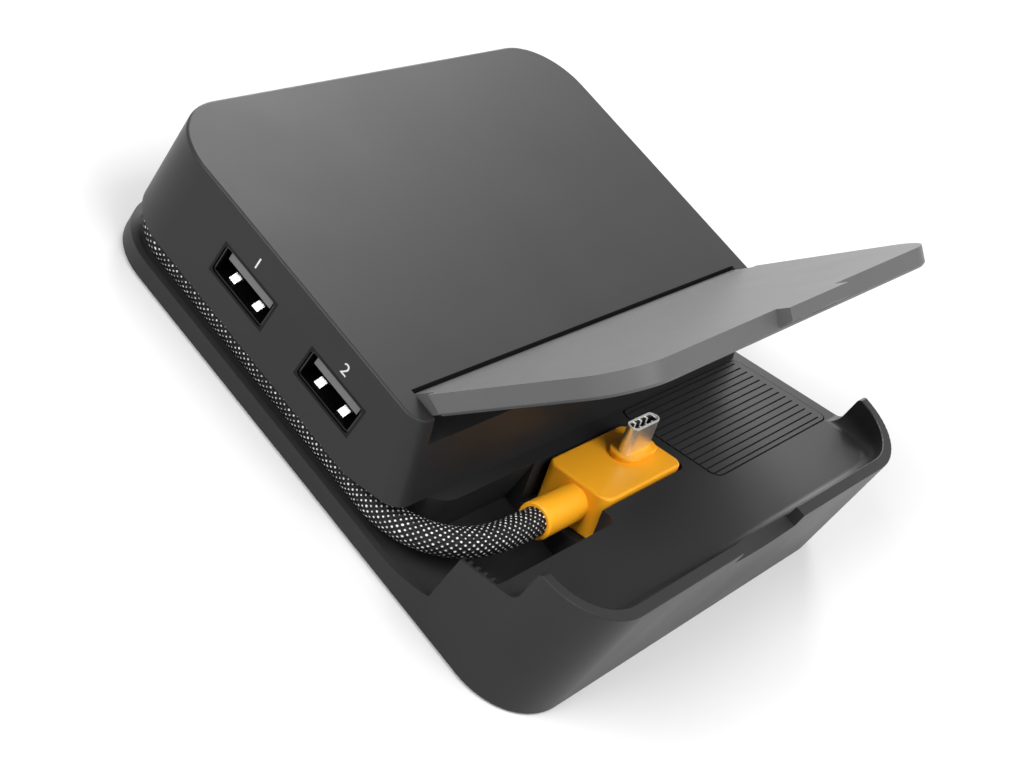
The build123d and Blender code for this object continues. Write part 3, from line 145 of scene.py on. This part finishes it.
# %% [markdown]
# The braid shows as small pale flecks in a diamond pattern, where the crossing yarns catch the
# light. Two coordinates laid on the tube, one along it and one round it, let a material draw the
# yarns at their real pitch of a little over a millimetre, and the pattern follows every bend. An
# even number of pitches goes round, so that the pattern closes.

# %% Braided tube
YARN_PITCH = 1.25 * MM
CABLE_SIDES = 32
CABLE_STEP = 0.6 * MM
SHORTEST_STEP = 0.3
FACE_CORNERS = ((0, 0), (1, 0), (1, 1), (0, 1))


def even_steps(points, step):
    """The same line at even steps. A last step below the shortest share joins the one before."""
    out, carry = [points[0].copy()], 0.0
    for a, b in zip(points, points[1:]):
        run = (b - a).length
        place = step - carry
        while place <= run:
            out.append(a.lerp(b, place / run))
            place += step
        carry = (carry + run) % step
    if (out[-1] - points[-1]).length > step * SHORTEST_STEP:
        out.append(points[-1].copy())
    else:
        out[-1] = points[-1].copy()
    return out


def tube(name, path, radius, sides, yarn_pitch):
    """A tube along a path with a uv of (round it, along it), both counted in yarn pitches."""
    mesh = bpy.data.meshes.new(name)
    shape = bmesh.new()
    uv = shape.loops.layers.uv.new("yarn")
    tangent = (path[1] - path[0]).normalized()
    side = tangent.orthogonal().normalized()
    rings, lengths, length = [], [], 0.0
    for index, place in enumerate(path):
        before = path[max(index - 1, 0)]
        after = path[min(index + 1, len(path) - 1)]
        tangent = (after - before).normalized()
        side = (side - tangent * side.dot(tangent)).normalized()
        other = tangent.cross(side)
        if index:
            length += (place - before).length
        ring = []
        for count in range(sides):
            angle = 2 * math.pi * count / sides
            spoke = math.cos(angle) * side + math.sin(angle) * other
            ring.append(shape.verts.new(place + radius * spoke))
        rings.append(ring)
        lengths.append(length)
    around = round(2 * math.pi * radius / yarn_pitch / 2) * 2
    for index, (near, far) in enumerate(zip(rings, rings[1:])):
        for count in range(sides):
            after = (count + 1) % sides
            face = shape.faces.new((near[count], near[after], far[after], far[count]))
            face.smooth = True
            for loop, (right, ahead) in zip(face.loops, FACE_CORNERS):
                loop[uv].uv = (
                    (count + right) / sides * around,
                    lengths[index + ahead] / yarn_pitch,
                )
    shape.faces.new(list(reversed(rings[0])))
    shape.faces.new(rings[-1])
    shape.to_mesh(mesh)
    shape.free()
    piece = bpy.data.objects.new(name, mesh)
    scene.collection.objects.link(piece)
    return piece


cable_path = even_steps(route, CABLE_STEP)
cable = tube("braided_cable", cable_path, CABLE_DIAMETER / 2, CABLE_SIDES, YARN_PITCH)
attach(cable, "dock")
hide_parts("cable")
print("cable faces", len(cable.data.polygons))

# %% [markdown]
# Every surface here is drawn by nodes rather than by pictures, so that it holds up close and needs
# no files. Colours are written as sRGB hex values, as a painter would pick them, and one function
# turns them into the linear values that the renderer mixes. Sockets without a name of their own go
# by number. A map range has its value at 0, the ends it comes from at 1 and 2, and the ends it
# goes to at 3 and 4. A mix of colours has its share at 0 and the two colours at 6 and 7.

# %% Material helpers
IOR = 1.5


def colour(hex_value, level=1.0):
    """sRGB hex to linear red, green and blue, all times the level, with one for alpha."""
    parts = [int(hex_value[i : i + 2], 16) / 255 for i in (1, 3, 5)]
    linear = [c / 12.92 if c <= 0.04045 else ((c + 0.055) / 1.055) ** 2.4 for c in parts]
    return (*[c * level for c in linear], 1.0)


def add(tree, kind, settings=None, **links):
    """Adds a node with its settings, and gives each named or numbered socket a value or a link."""
    node = tree.nodes.new(kind)
    for key, value in (settings or {}).items():
        if key == "stops":
            stops = node.color_ramp.elements
            while len(stops) < len(value):
                stops.new(1.0)
            for stop, (stop_place, tint) in zip(stops, value):
                stop.position, stop.color = stop_place, tint
        else:
            setattr(node, key, value)
    for key, value in links.items():
        numbered = key[0] == "i" and key[1:].isdigit()
        socket = node.inputs[int(key[1:]) if numbered else key.replace("_", " ")]
        if isinstance(value, bpy.types.NodeSocket):
            tree.links.new(value, socket)
        else:
            socket.default_value = value
    return node


def surface(name, base_hex, roughness, metallic=0.0):
    """A new material with its main shader set. Returns the material, its nodes and the shader."""
    material = bpy.data.materials.new(name)
    material.use_nodes = True
    tree = material.node_tree
    shader = tree.nodes["Principled BSDF"]
    shader.inputs["Base Color"].default_value = colour(base_hex)
    shader.inputs["Roughness"].default_value = roughness
    shader.inputs["Metallic"].default_value = metallic
    shader.inputs["IOR"].default_value = IOR
    material.diffuse_color = colour(base_hex)
    return material, tree, shader


# %% [markdown]
# The casing is injection-moulded ABS. The mould was spark eroded, which leaves a fine even grain
# of about a quarter millimetre: the surface scatters light, so it looks satin, and the rounded
# edges catch a thin bright line. The grain is a bump from noise, and a slower noise shifts the
# colour and the roughness a little, as on any moulded face. Most of the noise lies between the
# two values named low and high, and one period of it holds two grains.

# %% Moulded ABS
GRAIN = 0.28 * MM
GRAIN_HEIGHT = 0.04 * MM
MOTTLE_SIZE = 18 * MM
ROUGHNESS_SPREAD = 0.03
NOISE_LOW, NOISE_HIGH = 0.3, 0.7


def moulded(name, base_hex, roughness, grain=GRAIN, depth=0.25, mottle=0.05, specular=0.5):
    """Spark-eroded moulded plastic. The grain is drawn as coarse as shows in the render."""
    material, tree, shader = surface(name, base_hex, roughness)
    place = add(tree, "ShaderNodeTexCoord").outputs["Object"]
    fine = add(tree, "ShaderNodeTexNoise", Vector=place, Scale=1 / (2 * grain), Detail=2.0)
    slow = add(tree, "ShaderNodeTexNoise", Vector=place, Scale=1 / MOTTLE_SIZE, Detail=3.0)
    pale, dark = colour(base_hex, 1 + mottle), colour(base_hex, 1 - mottle)
    stops = [(NOISE_LOW, dark), (NOISE_HIGH, pale)]
    tint = add(tree, "ShaderNodeValToRGB", {"stops": stops}, Fac=slow.outputs["Fac"])
    tree.links.new(tint.outputs["Color"], shader.inputs["Base Color"])
    rough = add(
        tree,
        "ShaderNodeMapRange",
        i0=slow.outputs["Fac"],
        i1=NOISE_LOW,
        i2=NOISE_HIGH,
        i3=roughness - ROUGHNESS_SPREAD,
        i4=roughness + ROUGHNESS_SPREAD,
    )
    tree.links.new(rough.outputs[0], shader.inputs["Roughness"])
    bump = add(
        tree, "ShaderNodeBump", Strength=depth, Distance=GRAIN_HEIGHT, Height=fine.outputs["Fac"]
    )
    tree.links.new(bump.outputs["Normal"], shader.inputs["Normal"])
    shader.inputs["Specular IOR Level"].default_value = specular
    return material


CASING = {"base_hex": "#29292a", "roughness": 0.4, "specular": 0.16}

grey_abs = moulded("moulded_abs_dark_grey", **CASING)
# The flap is the casing's ABS drawn in a lighter grey: painted sheen that stands in for the bright
# reflection on its top.
flap_abs_painted_sheen = moulded("moulded_abs_flap_painted_sheen", "#545455", roughness=0.42, specular=0.25)
black_abs = moulded("moulded_abs_black", "#1d1d1e", roughness=0.5, specular=0.3)
bush_acetal = moulded("moulded_acetal_white", "#c9c8c2", roughness=0.35, depth=0.1)

NYLON = {"grain": 0.2 * MM, "depth": 0.1}

socket_plastic = moulded("moulded_nylon_black", "#222223", roughness=0.45, **NYLON)
tongue_plastic = moulded("moulded_nylon_grey", "#5c5c5d", roughness=0.4, **NYLON)
print("plastics made")

# %% [markdown]
# The plug is moulded in a warm orange plastic with a satin skin, almost without grain, so it keeps
# a soft wide highlight. The metals are thin plated coats over steel or copper. Fine lines in the
# surface vary the roughness, and where the sheet was drawn they are stretched along the draw.

# %% Orange plastic and nickel
DRAWN_LINE = 0.25 * MM
DRAWN_HEIGHT = 0.01 * MM
DRAWN_STRENGTH = 0.05
SMOOTHEST, ROUGHEST = 0.8, 1.25
DRAWN_UPRIGHT = (1.0, 1.0, 0.15)

orange_plastic = moulded(
    "moulded_orange_polycarbonate",
    "#f9ab20",
    roughness=0.4,
    grain=0.5 * MM,
    depth=0.06,
    mottle=0.02,
    specular=0.3,
)


def plated(name, base_hex, roughness, stretch=(1.0, 1.0, 1.0)):
    """Plated metal. A scale below one on an axis draws its fine lines out along that axis."""
    material, tree, shader = surface(name, base_hex, roughness, metallic=1.0)
    place = add(tree, "ShaderNodeTexCoord").outputs["Object"]
    drawn = add(tree, "ShaderNodeMapping", Vector=place, Scale=stretch)
    lines = add(
        tree, "ShaderNodeTexNoise", Vector=drawn.outputs[0], Scale=1 / DRAWN_LINE, Detail=2.0
    )
    rough = add(
        tree,
        "ShaderNodeMapRange",
        i0=lines.outputs["Fac"],
        i1=NOISE_LOW,
        i2=NOISE_HIGH,
        i3=roughness * SMOOTHEST,
        i4=roughness * ROUGHEST,
    )
    tree.links.new(rough.outputs[0], shader.inputs["Roughness"])
    bump = add(
        tree,
        "ShaderNodeBump",
        Strength=DRAWN_STRENGTH,
        Distance=DRAWN_HEIGHT,
        Height=lines.outputs["Fac"],
    )
    tree.links.new(bump.outputs["Normal"], shader.inputs["Normal"])
    return material


nickel = plated("nickel_plated_steel", "#d9d8d6", roughness=0.12, stretch=DRAWN_UPRIGHT)
zinc_screw = plated("zinc_plated_steel", "#a2a3a6", roughness=0.32)
gold_contact = plated("gold_plated_contact", "#d8b15a", roughness=0.2)
print("orange plastic and metals made")

# %% [markdown]
# The shell of a side socket is sheet steel under black nickel, so its walls stay dark, and only
# the two springs bent up from its floor are drawn bright. A mask by place tells them apart: near
# the middle line of a spring, and above the floor of the shell.

# %% Side socket shells
SPRING_OFFSET = 3.1 * MM
SPRING_HALF_WIDTH = 0.78 * MM
SPRING_MIDDLE = 1.05 * MM
SPRING_HALF_HEIGHT = 0.7 * MM
SHELL_ROUGHNESS = (0.2, 0.45)
BLACK_NICKEL, BRIGHT_STEEL = "#3a3a3c", "#f4f4f2"
SIDE_SOCKETS = ("side_socket_front", "side_socket_rear")


def socket_metal(name, low, high):
    """Black-nickel sheet steel with bright springs, for the shell that fills the box given."""
    material, tree, shader = surface(name, BLACK_NICKEL, SHELL_ROUGHNESS[0], metallic=1.0)
    place = add(tree, "ShaderNodeTexCoord").outputs["Object"]
    parts = add(tree, "ShaderNodeSeparateXYZ", Vector=place)
    middle = (low[1] + high[1]) / 2
    away = add(tree, "ShaderNodeMath", {"operation": "SUBTRACT"}, i0=parts.outputs["Y"], i1=middle)
    away = add(tree, "ShaderNodeMath", {"operation": "ABSOLUTE"}, i0=away.outputs[0])
    near = add(
        tree,
        "ShaderNodeMath",
        {"operation": "COMPARE"},
        i0=away.outputs[0],
        i1=SPRING_OFFSET,
        i2=SPRING_HALF_WIDTH,
    )
    above = add(
        tree,
        "ShaderNodeMath",
        {"operation": "COMPARE"},
        i0=parts.outputs["Z"],
        i1=low[2] + SPRING_MIDDLE,
        i2=SPRING_HALF_HEIGHT,
    )
    spring = add(
        tree, "ShaderNodeMath", {"operation": "MULTIPLY"}, i0=near.outputs[0], i1=above.outputs[0]
    )
    stops = [(0.0, colour(BLACK_NICKEL)), (1.0, colour(BRIGHT_STEEL))]
    tint = add(tree, "ShaderNodeValToRGB", {"stops": stops}, Fac=spring.outputs[0])
    tree.links.new(tint.outputs["Color"], shader.inputs["Base Color"])
    rough = add(tree, "ShaderNodeTexNoise", Vector=place, Scale=1 / DRAWN_LINE, Detail=1.0)
    rough = add(
        tree,
        "ShaderNodeMapRange",
        i0=rough.outputs["Fac"],
        i3=SHELL_ROUGHNESS[0],
        i4=SHELL_ROUGHNESS[1],
    )
    tree.links.new(rough.outputs[0], shader.inputs["Roughness"])
    return material


socket_metals = {
    node_name: socket_metal("black_nickel_" + node_name, *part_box(node_name))
    for node_name in SIDE_SOCKETS
}
print("side socket metals", list(socket_metals))

# %% [markdown]
# The grip pad, the feet and the gland are moulded from a soft rubber-like plastic. It is dark with
# hardly any highlight, and its grain is coarser than that of the casing. The pad is satin, and the
# feet and the gland are matte.

# %% Soft rubber
RUBBER_DEPTH = 0.3

pad_rubber = moulded(
    "moulded_soft_rubber",
    "#2c2c2d",
    roughness=0.45,
    grain=0.4 * MM,
    depth=RUBBER_DEPTH,
    specular=0.16,
)
foot_rubber = moulded(
    "moulded_foot_rubber",
    "#1d1d1d",
    roughness=0.8,
    grain=0.6 * MM,
    depth=RUBBER_DEPTH,
    specular=0.3,
)
print("rubbers made")

# %% [markdown]
# The circuit board is glass-fibre laminate under a glossy green solder mask, and the chips are
# moulded black epoxy. They are sealed inside the casing.

# %% Board and chips
board_mask = moulded(
    "solder_mask_green", "#1d5a34", roughness=0.25, grain=1.0 * MM, depth=0.05
)
chip_epoxy = moulded("moulded_epoxy_black", "#1b1b1c", roughness=0.55, grain=0.3 * MM)
print("board and chip surfaces made")

# %% [markdown]
# The braid is black polyester yarn over a round core, with one pale yarn in each group. Two sets
# of yarns wind round it in opposite senses and pass over and under each other, and at each
# crossing the yarn on top bulges and shows its pale thread. A diamond of dots follows from the
# product of two waves along the two winding directions.

# %% Braided polyester
FUZZ_SIZE = 0.9 * MM
FUZZ_LEVEL = 0.14
BULGE_HEIGHT = 0.25 * MM
BULGE_STRENGTH = 0.8
YARN_SPECULAR = 0.25
YARN_STOPS = [(0.62, colour("#080808")), (0.78, colour("#4c4c4e")), (0.95, colour("#dcdcdc"))]


def braided(name):
    """Crossing yarns: raised dots in a diamond pattern, pale at their tops."""
    material, tree, shader = surface(name, "#0e0e0f", roughness=0.6)
    uv = add(tree, "ShaderNodeUVMap", {"uv_map": "yarn"}).outputs["UV"]
    parts = add(tree, "ShaderNodeSeparateXYZ", Vector=uv)
    across, along = parts.outputs["X"], parts.outputs["Y"]
    waves = []
    for sense in ("ADD", "SUBTRACT"):
        wave = add(tree, "ShaderNodeMath", {"operation": sense}, i0=across, i1=along)
        wave = add(
            tree, "ShaderNodeMath", {"operation": "MULTIPLY"}, i0=wave.outputs[0], i1=math.pi
        )
        wave = add(tree, "ShaderNodeMath", {"operation": "COSINE"}, i0=wave.outputs[0])
        wave = add(tree, "ShaderNodeMath", {"operation": "ABSOLUTE"}, i0=wave.outputs[0])
        waves.append(wave.outputs[0])
    crossing = add(tree, "ShaderNodeMath", {"operation": "MULTIPLY"}, i0=waves[0], i1=waves[1])
    place = add(tree, "ShaderNodeTexCoord").outputs["Object"]
    fuzz = add(tree, "ShaderNodeTexNoise", Vector=place, Scale=1 / FUZZ_SIZE, Detail=2.0)
    jitter = add(
        tree,
        "ShaderNodeMapRange",
        i0=fuzz.outputs["Fac"],
        i1=NOISE_LOW,
        i2=NOISE_HIGH,
        i3=-FUZZ_LEVEL,
        i4=FUZZ_LEVEL,
    )
    level = add(
        tree, "ShaderNodeMath", {"operation": "ADD"}, i0=crossing.outputs[0], i1=jitter.outputs[0]
    )
    tint = add(tree, "ShaderNodeValToRGB", {"stops": YARN_STOPS}, Fac=level.outputs[0])
    tree.links.new(tint.outputs["Color"], shader.inputs["Base Color"])
    bump = add(
        tree,
        "ShaderNodeBump",
        Strength=BULGE_STRENGTH,
        Distance=BULGE_HEIGHT,
        Height=crossing.outputs[0],
    )
    tree.links.new(bump.outputs["Normal"], shader.inputs["Normal"])
    shader.inputs["Specular IOR Level"].default_value = YARN_SPECULAR
    return material


braid = braided("braided_polyester_black")
print("braid made")

# %% [markdown]
# Round each side socket the casing is drawn near black, in the opening and for about half a
# millimetre round it, which sets off the bright parts inside: painted shade of the gap round the
# socket. The plastic is that of the casing, and a mask by place darkens it: it is one where a
# point is no further than the shade's width outside the box of a socket, on the left side.

# %% Painted shade round the side sockets
# Width and colour of the painted shade in and round each socket opening.
PAINTED_SHADE_WIDTH = 0.55 * MM
LEFT_SIDE = -50 * MM
PAINTED_SHADE_HEX = "#070707"

casing_abs = moulded("moulded_abs_casing", **CASING)
tree = casing_abs.node_tree
shader = tree.nodes["Principled BSDF"]
plain = shader.inputs["Base Color"].links[0].from_socket
place = add(tree, "ShaderNodeTexCoord").outputs["Object"]
parts = add(tree, "ShaderNodeSeparateXYZ", Vector=place)
left = add(tree, "ShaderNodeMath", {"operation": "LESS_THAN"}, i0=parts.outputs["X"], i1=LEFT_SIDE)
painted_shades = 0.0
for node_name in SIDE_SOCKETS:
    low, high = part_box(node_name)
    inside = left.outputs[0]
    for axis, letter in ((1, "Y"), (2, "Z")):
        near = add(
            tree,
            "ShaderNodeMath",
            {"operation": "COMPARE"},
            i0=parts.outputs[letter],
            i1=(low[axis] + high[axis]) / 2,
            i2=(high[axis] - low[axis]) / 2 + PAINTED_SHADE_WIDTH,
        )
        inside = add(
            tree, "ShaderNodeMath", {"operation": "MULTIPLY"}, i0=near.outputs[0], i1=inside
        ).outputs[0]
    painted_shades = add(
        tree, "ShaderNodeMath", {"operation": "MAXIMUM"}, i0=inside, i1=painted_shades
    ).outputs[0]
# Painted shade: in and round each socket the casing's colour is mixed to near black.
painted_shade_colour = add(
    tree,
    "ShaderNodeMix",
    {"data_type": "RGBA"},
    i0=painted_shades,
    i6=plain,
    i7=colour(PAINTED_SHADE_HEX),
)
tree.links.new(painted_shade_colour.outputs[2], shader.inputs["Base Color"])
print("casing plastic with", len(SIDE_SOCKETS), "dark frames made")

# %% [markdown]
# The rim at the mouth of the plug's tip is drawn almost without metal, so its pale colour shows as
# a
# pale ring: a painted reflection of the light that the plated rim mirrors. In it the contacts show
# as pale marks across the black carrier, one where a wave along the carrier is high.

# %% Plug tip
MOUTH_LEAN = math.radians(17.74)
RIM_DEPTH = 0.3 * MM
RIM_METALLIC = 0.15
CONTACT_PITCH = 1.9 * MM
MARK_CUT = 0.55
CARRIER_HEX, MARK_HEX = "#101011", "#f2f0ea"

tip = plated("satin_nickel_plug_tip", "#eeedea", roughness=0.34, stretch=DRAWN_UPRIGHT)
outward = Vector((0, math.sin(MOUTH_LEAN), math.cos(MOUTH_LEAN)))
mouth = max(outward.dot(vertex.co) for vertex in nodes["plug_shell"].data.vertices)
tree = tip.node_tree
shader = tree.nodes["Principled BSDF"]
place = add(tree, "ShaderNodeTexCoord").outputs["Object"]
height = add(tree, "ShaderNodeVectorMath", {"operation": "DOT_PRODUCT"}, i0=place, i1=outward)
rim = add(
    tree,
    "ShaderNodeMath",
    {"operation": "GREATER_THAN"},
    i0=height.outputs["Value"],
    i1=mouth - RIM_DEPTH,
)
# Painted reflection: the rim gets almost no metal, so the pale base colour shows there as a pale
# ring.
stops = [(0.0, (1.0, 1.0, 1.0, 1.0)), (1.0, (RIM_METALLIC, RIM_METALLIC, RIM_METALLIC, 1.0))]
metal = add(tree, "ShaderNodeValToRGB", {"stops": stops}, Fac=rim.outputs[0])
tree.links.new(metal.outputs["Color"], shader.inputs["Metallic"])

carrier = moulded("moulded_contact_carrier", CARRIER_HEX, roughness=0.4, **NYLON)
tree = carrier.node_tree
shader = tree.nodes["Principled BSDF"]
low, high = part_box("plug_insulator")
place = add(tree, "ShaderNodeTexCoord").outputs["Object"]
parts = add(tree, "ShaderNodeSeparateXYZ", Vector=place)
turns = add(
    tree,
    "ShaderNodeMath",
    {"operation": "MULTIPLY_ADD"},
    i0=parts.outputs["X"],
    i1=2 * math.pi / CONTACT_PITCH,
    i2=-math.pi * (low[0] + high[0]) / CONTACT_PITCH,
)
wave = add(tree, "ShaderNodeMath", {"operation": "COSINE"}, i0=turns.outputs[0])
marks = add(
    tree, "ShaderNodeMath", {"operation": "GREATER_THAN"}, i0=wave.outputs[0], i1=MARK_CUT
)
stops = [(0.0, colour(CARRIER_HEX)), (1.0, colour(MARK_HEX))]
tint = add(tree, "ShaderNodeValToRGB", {"stops": stops}, Fac=marks.outputs[0])
tree.links.new(tint.outputs["Color"], shader.inputs["Base Color"])
print("plug tip", round(mouth, 5))

# %% [markdown]
# Each CAD node now gets its material. A node's own mesh stays as the CAD made it, and only its
# slots change.

# %% Dress the CAD nodes
NODE_MATERIAL = {
    **socket_metals,
    "base_tray": grey_abs,
    "housing_shell": casing_abs,
    "bottom_plate": black_abs,
    "housing_floor": black_abs,
    "backrest_flap": flap_abs_painted_sheen,
    "foot_pads": foot_rubber,
    "grip_pad": pad_rubber,
    "bottom_screws": zinc_screw,
    "housing_screws": zinc_screw,
    "board_screws": zinc_screw,
    "circuit_board": board_mask,
    "hub_chip": chip_epoxy,
    "video_chip": chip_epoxy,
    "video_socket": nickel,
    "power_socket": nickel,
    "side_tongue_front": tongue_plastic,
    "side_tongue_rear": tongue_plastic,
    "video_tongue": socket_plastic,
    "power_tongue": socket_plastic,
    "side_contacts_front": gold_contact,
    "side_contacts_rear": gold_contact,
    "plug_body": orange_plastic,
    "plug_shell": tip,
    "plug_insulator": carrier,
    "cable_gland": foot_rubber,
    "hinge_bush_left": bush_acetal,
    "hinge_bush_right": bush_acetal,
    "hinge_pin_left": zinc_screw,
    "hinge_pin_right": zinc_screw,
}


def dress(piece, material):
    """Gives all of a piece's faces one material."""
    piece.data.materials.clear()
    piece.data.materials.append(material)


for node_name, material in NODE_MATERIAL.items():
    dress(nodes[node_name], material)
dress(cable, braid)
print("bare nodes:", sorted(set(nodes) - set(NODE_MATERIAL) - {"cable"}))

# %% [markdown]
# Each side socket has a small number above it, pad printed in pale ink on the casing. A ray shot
# at the casing from the left finds the spot, and the number lies flat on the face that it hits.
# A digit of the built-in lettering is as high as its size divided by 1.4.

# %% Printed numbers
NUMBER_HEIGHT = 2.3 * MM
NUMBER_ABOVE_SOCKET = 2.6 * MM
INK_THICKNESS = 0.01 * MM
SIZE_FOR_HEIGHT = 1.4
RAY_RUN = 50 * MM

ink, _, _ = surface("printed_ink_pale_grey", "#c4c4c5", roughness=0.6)
casing = nodes["housing_shell"]
for digit, node_name in (("1", "side_socket_rear"), ("2", "side_socket_front")):
    low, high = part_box(node_name)
    start = Vector((low[0] - RAY_RUN, (low[1] + high[1]) / 2, high[2] + NUMBER_ABOVE_SOCKET))
    hit, spot, normal, _ = casing.ray_cast(start, Vector((1, 0, 0)))
    letters = bpy.data.curves.new("number_" + digit, "FONT")
    letters.body = digit
    letters.size = NUMBER_HEIGHT * SIZE_FOR_HEIGHT
    letters.align_x = "CENTER"
    letters.align_y = "CENTER"
    text_piece = bpy.data.objects.new("number_outline_" + digit, letters)
    number = bpy.data.objects.new(
        "printed_number_" + digit, bpy.data.meshes.new_from_object(text_piece)
    )
    bpy.data.objects.remove(text_piece)
    scene.collection.objects.link(number)
    reading = Vector((0, -1, 0))
    upward = normal.cross(reading).normalized()
    axes = Matrix((reading, upward, normal)).transposed()
    number.matrix_world = Matrix.Translation(spot + normal * INK_THICKNESS) @ axes.to_4x4()
    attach(number, "dock")
    dress(number, ink)
    print("number", digit, "on the casing", hit, [round(c, 4) for c in spot])

# %% [markdown]
# The object stands on a large sheet of white paper. The lamps light it no more than they light the
# object, so by itself it would come out pale grey. Where the camera or a mirror looks at it, a
# glow is added that lifts the lit paper to white, and the object's shadow stays. Further off,
# where the lamps no longer reach, the glow grows.

# %% Floor
FLOOR_HALF = 3.0
FLOOR_GLOW = 0.05
FLOOR_SPECULAR = 0.1
GLOW_GROWS_FROM, GLOW_GROWS_TO = 0.2, 0.6

floor_mesh = bpy.data.meshes.new("floor")
corners = [(x * FLOOR_HALF, y * FLOOR_HALF, 0) for x, y in ((-1, -1), (1, -1), (1, 1), (-1, 1))]
floor_mesh.from_pydata(corners, [], [(0, 1, 2, 3)])
floor = bpy.data.objects.new("floor", floor_mesh)
scene.collection.objects.link(floor)
floor_material, floor_tree, floor_shader = surface("floor_paper", "#d2d2d2", roughness=0.9)
floor_shader.inputs["Specular IOR Level"].default_value = FLOOR_SPECULAR
floor_shader.inputs["Emission Color"].default_value = (1, 1, 1, 1)


def seen_by_eye_or_mirror(tree):
    """One for rays from the camera and for mirrored or refracted rays, and zero for the rest."""
    path = add(tree, "ShaderNodeLightPath")
    seen = path.outputs["Is Camera Ray"]
    for ray in ("Is Glossy Ray", "Is Transmission Ray"):
        seen = add(
            tree, "ShaderNodeMath", {"operation": "MAXIMUM"}, i0=seen, i1=path.outputs[ray]
        ).outputs[0]
    return seen


place = add(floor_tree, "ShaderNodeTexCoord").outputs["Object"]
distance = add(floor_tree, "ShaderNodeVectorMath", {"operation": "LENGTH"}, i0=place)
level = add(
    floor_tree,
    "ShaderNodeMapRange",
    i0=distance.outputs["Value"],
    i1=GLOW_GROWS_FROM,
    i2=GLOW_GROWS_TO,
    i3=FLOOR_GLOW,
    i4=1.0,
)
glow = add(
    floor_tree,
    "ShaderNodeMath",
    {"operation": "MULTIPLY"},
    i0=seen_by_eye_or_mirror(floor_tree),
    i1=level.outputs[0],
)
floor_tree.links.new(glow.outputs[0], floor_shader.inputs["Emission Strength"])
dress(floor, floor_material)
floor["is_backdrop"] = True
print("floor", 2 * FLOOR_HALF, "m square")

# %% [markdown]
# Four soft lamps light the dock. The key lamp hangs above it, a little in front. A low one behind
# on the right skims the top, a smaller one stands higher on the same side, and one high on the
# left brightens the side with the sockets. The world adds a weak even light, and the camera and
# mirrors see it as white.

# %% Light
WORLD_LEVEL = 0.35

world = bpy.data.worlds.new("studio")
scene.world = world
world.use_nodes = True
world_tree = world.node_tree
background = world_tree.nodes["Background"]
background.inputs["Color"].default_value = (1, 1, 1, 1)
strength = add(
    world_tree, "ShaderNodeMapRange", i0=seen_by_eye_or_mirror(world_tree), i3=WORLD_LEVEL, i4=1.0
)
world_tree.links.new(strength.outputs[0], background.inputs["Strength"])


def lamp(name, place, aim, size, power):
    """A rectangular soft lamp that faces a point."""
    data = bpy.data.lights.new(name, "AREA")
    data.shape = "RECTANGLE"
    data.size, data.size_y = size
    data.energy = power
    piece = bpy.data.objects.new(name, data)
    scene.collection.objects.link(piece)
    piece.location = place
    piece.rotation_mode = "QUATERNION"
    piece.rotation_quaternion = (Vector(aim) - Vector(place)).to_track_quat("-Z", "Y")


# Each lamp has a name, its place, the point it faces, its size in metres and its power in watts.
LAMPS = [
    ("key_softbox", (-0.05, -0.42, 0.9), (0, -0.02, 0), (0.6, 0.6), 8.2),
    ("rear_softbox", (1.25, 1.15, 0.45), (0, 0.0, 0.02), (0.75, 0.45), 12.0),
    ("right_softbox", (1.05, 0.8, 0.95), (0, -0.03, 0.01), (0.4, 0.4), 6.0),
    ("left_softbox", (-0.85, 0.3, 0.75), (0, 0.02, 0.01), (0.6, 0.5), 12.0),
]
for lamp_values in LAMPS:
    lamp(*lamp_values)
print("lamps", [lamp_values[0] for lamp_values in LAMPS])

scene.view_settings.view_transform = "Standard"

# %% [markdown]
# The size of the dressed model is printed, so that a piece that grew out of the real size shows
# up.

# %% Sizes and finish
low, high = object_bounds()
print("size", [round(b - a, 4) for a, b in zip(low, high)])
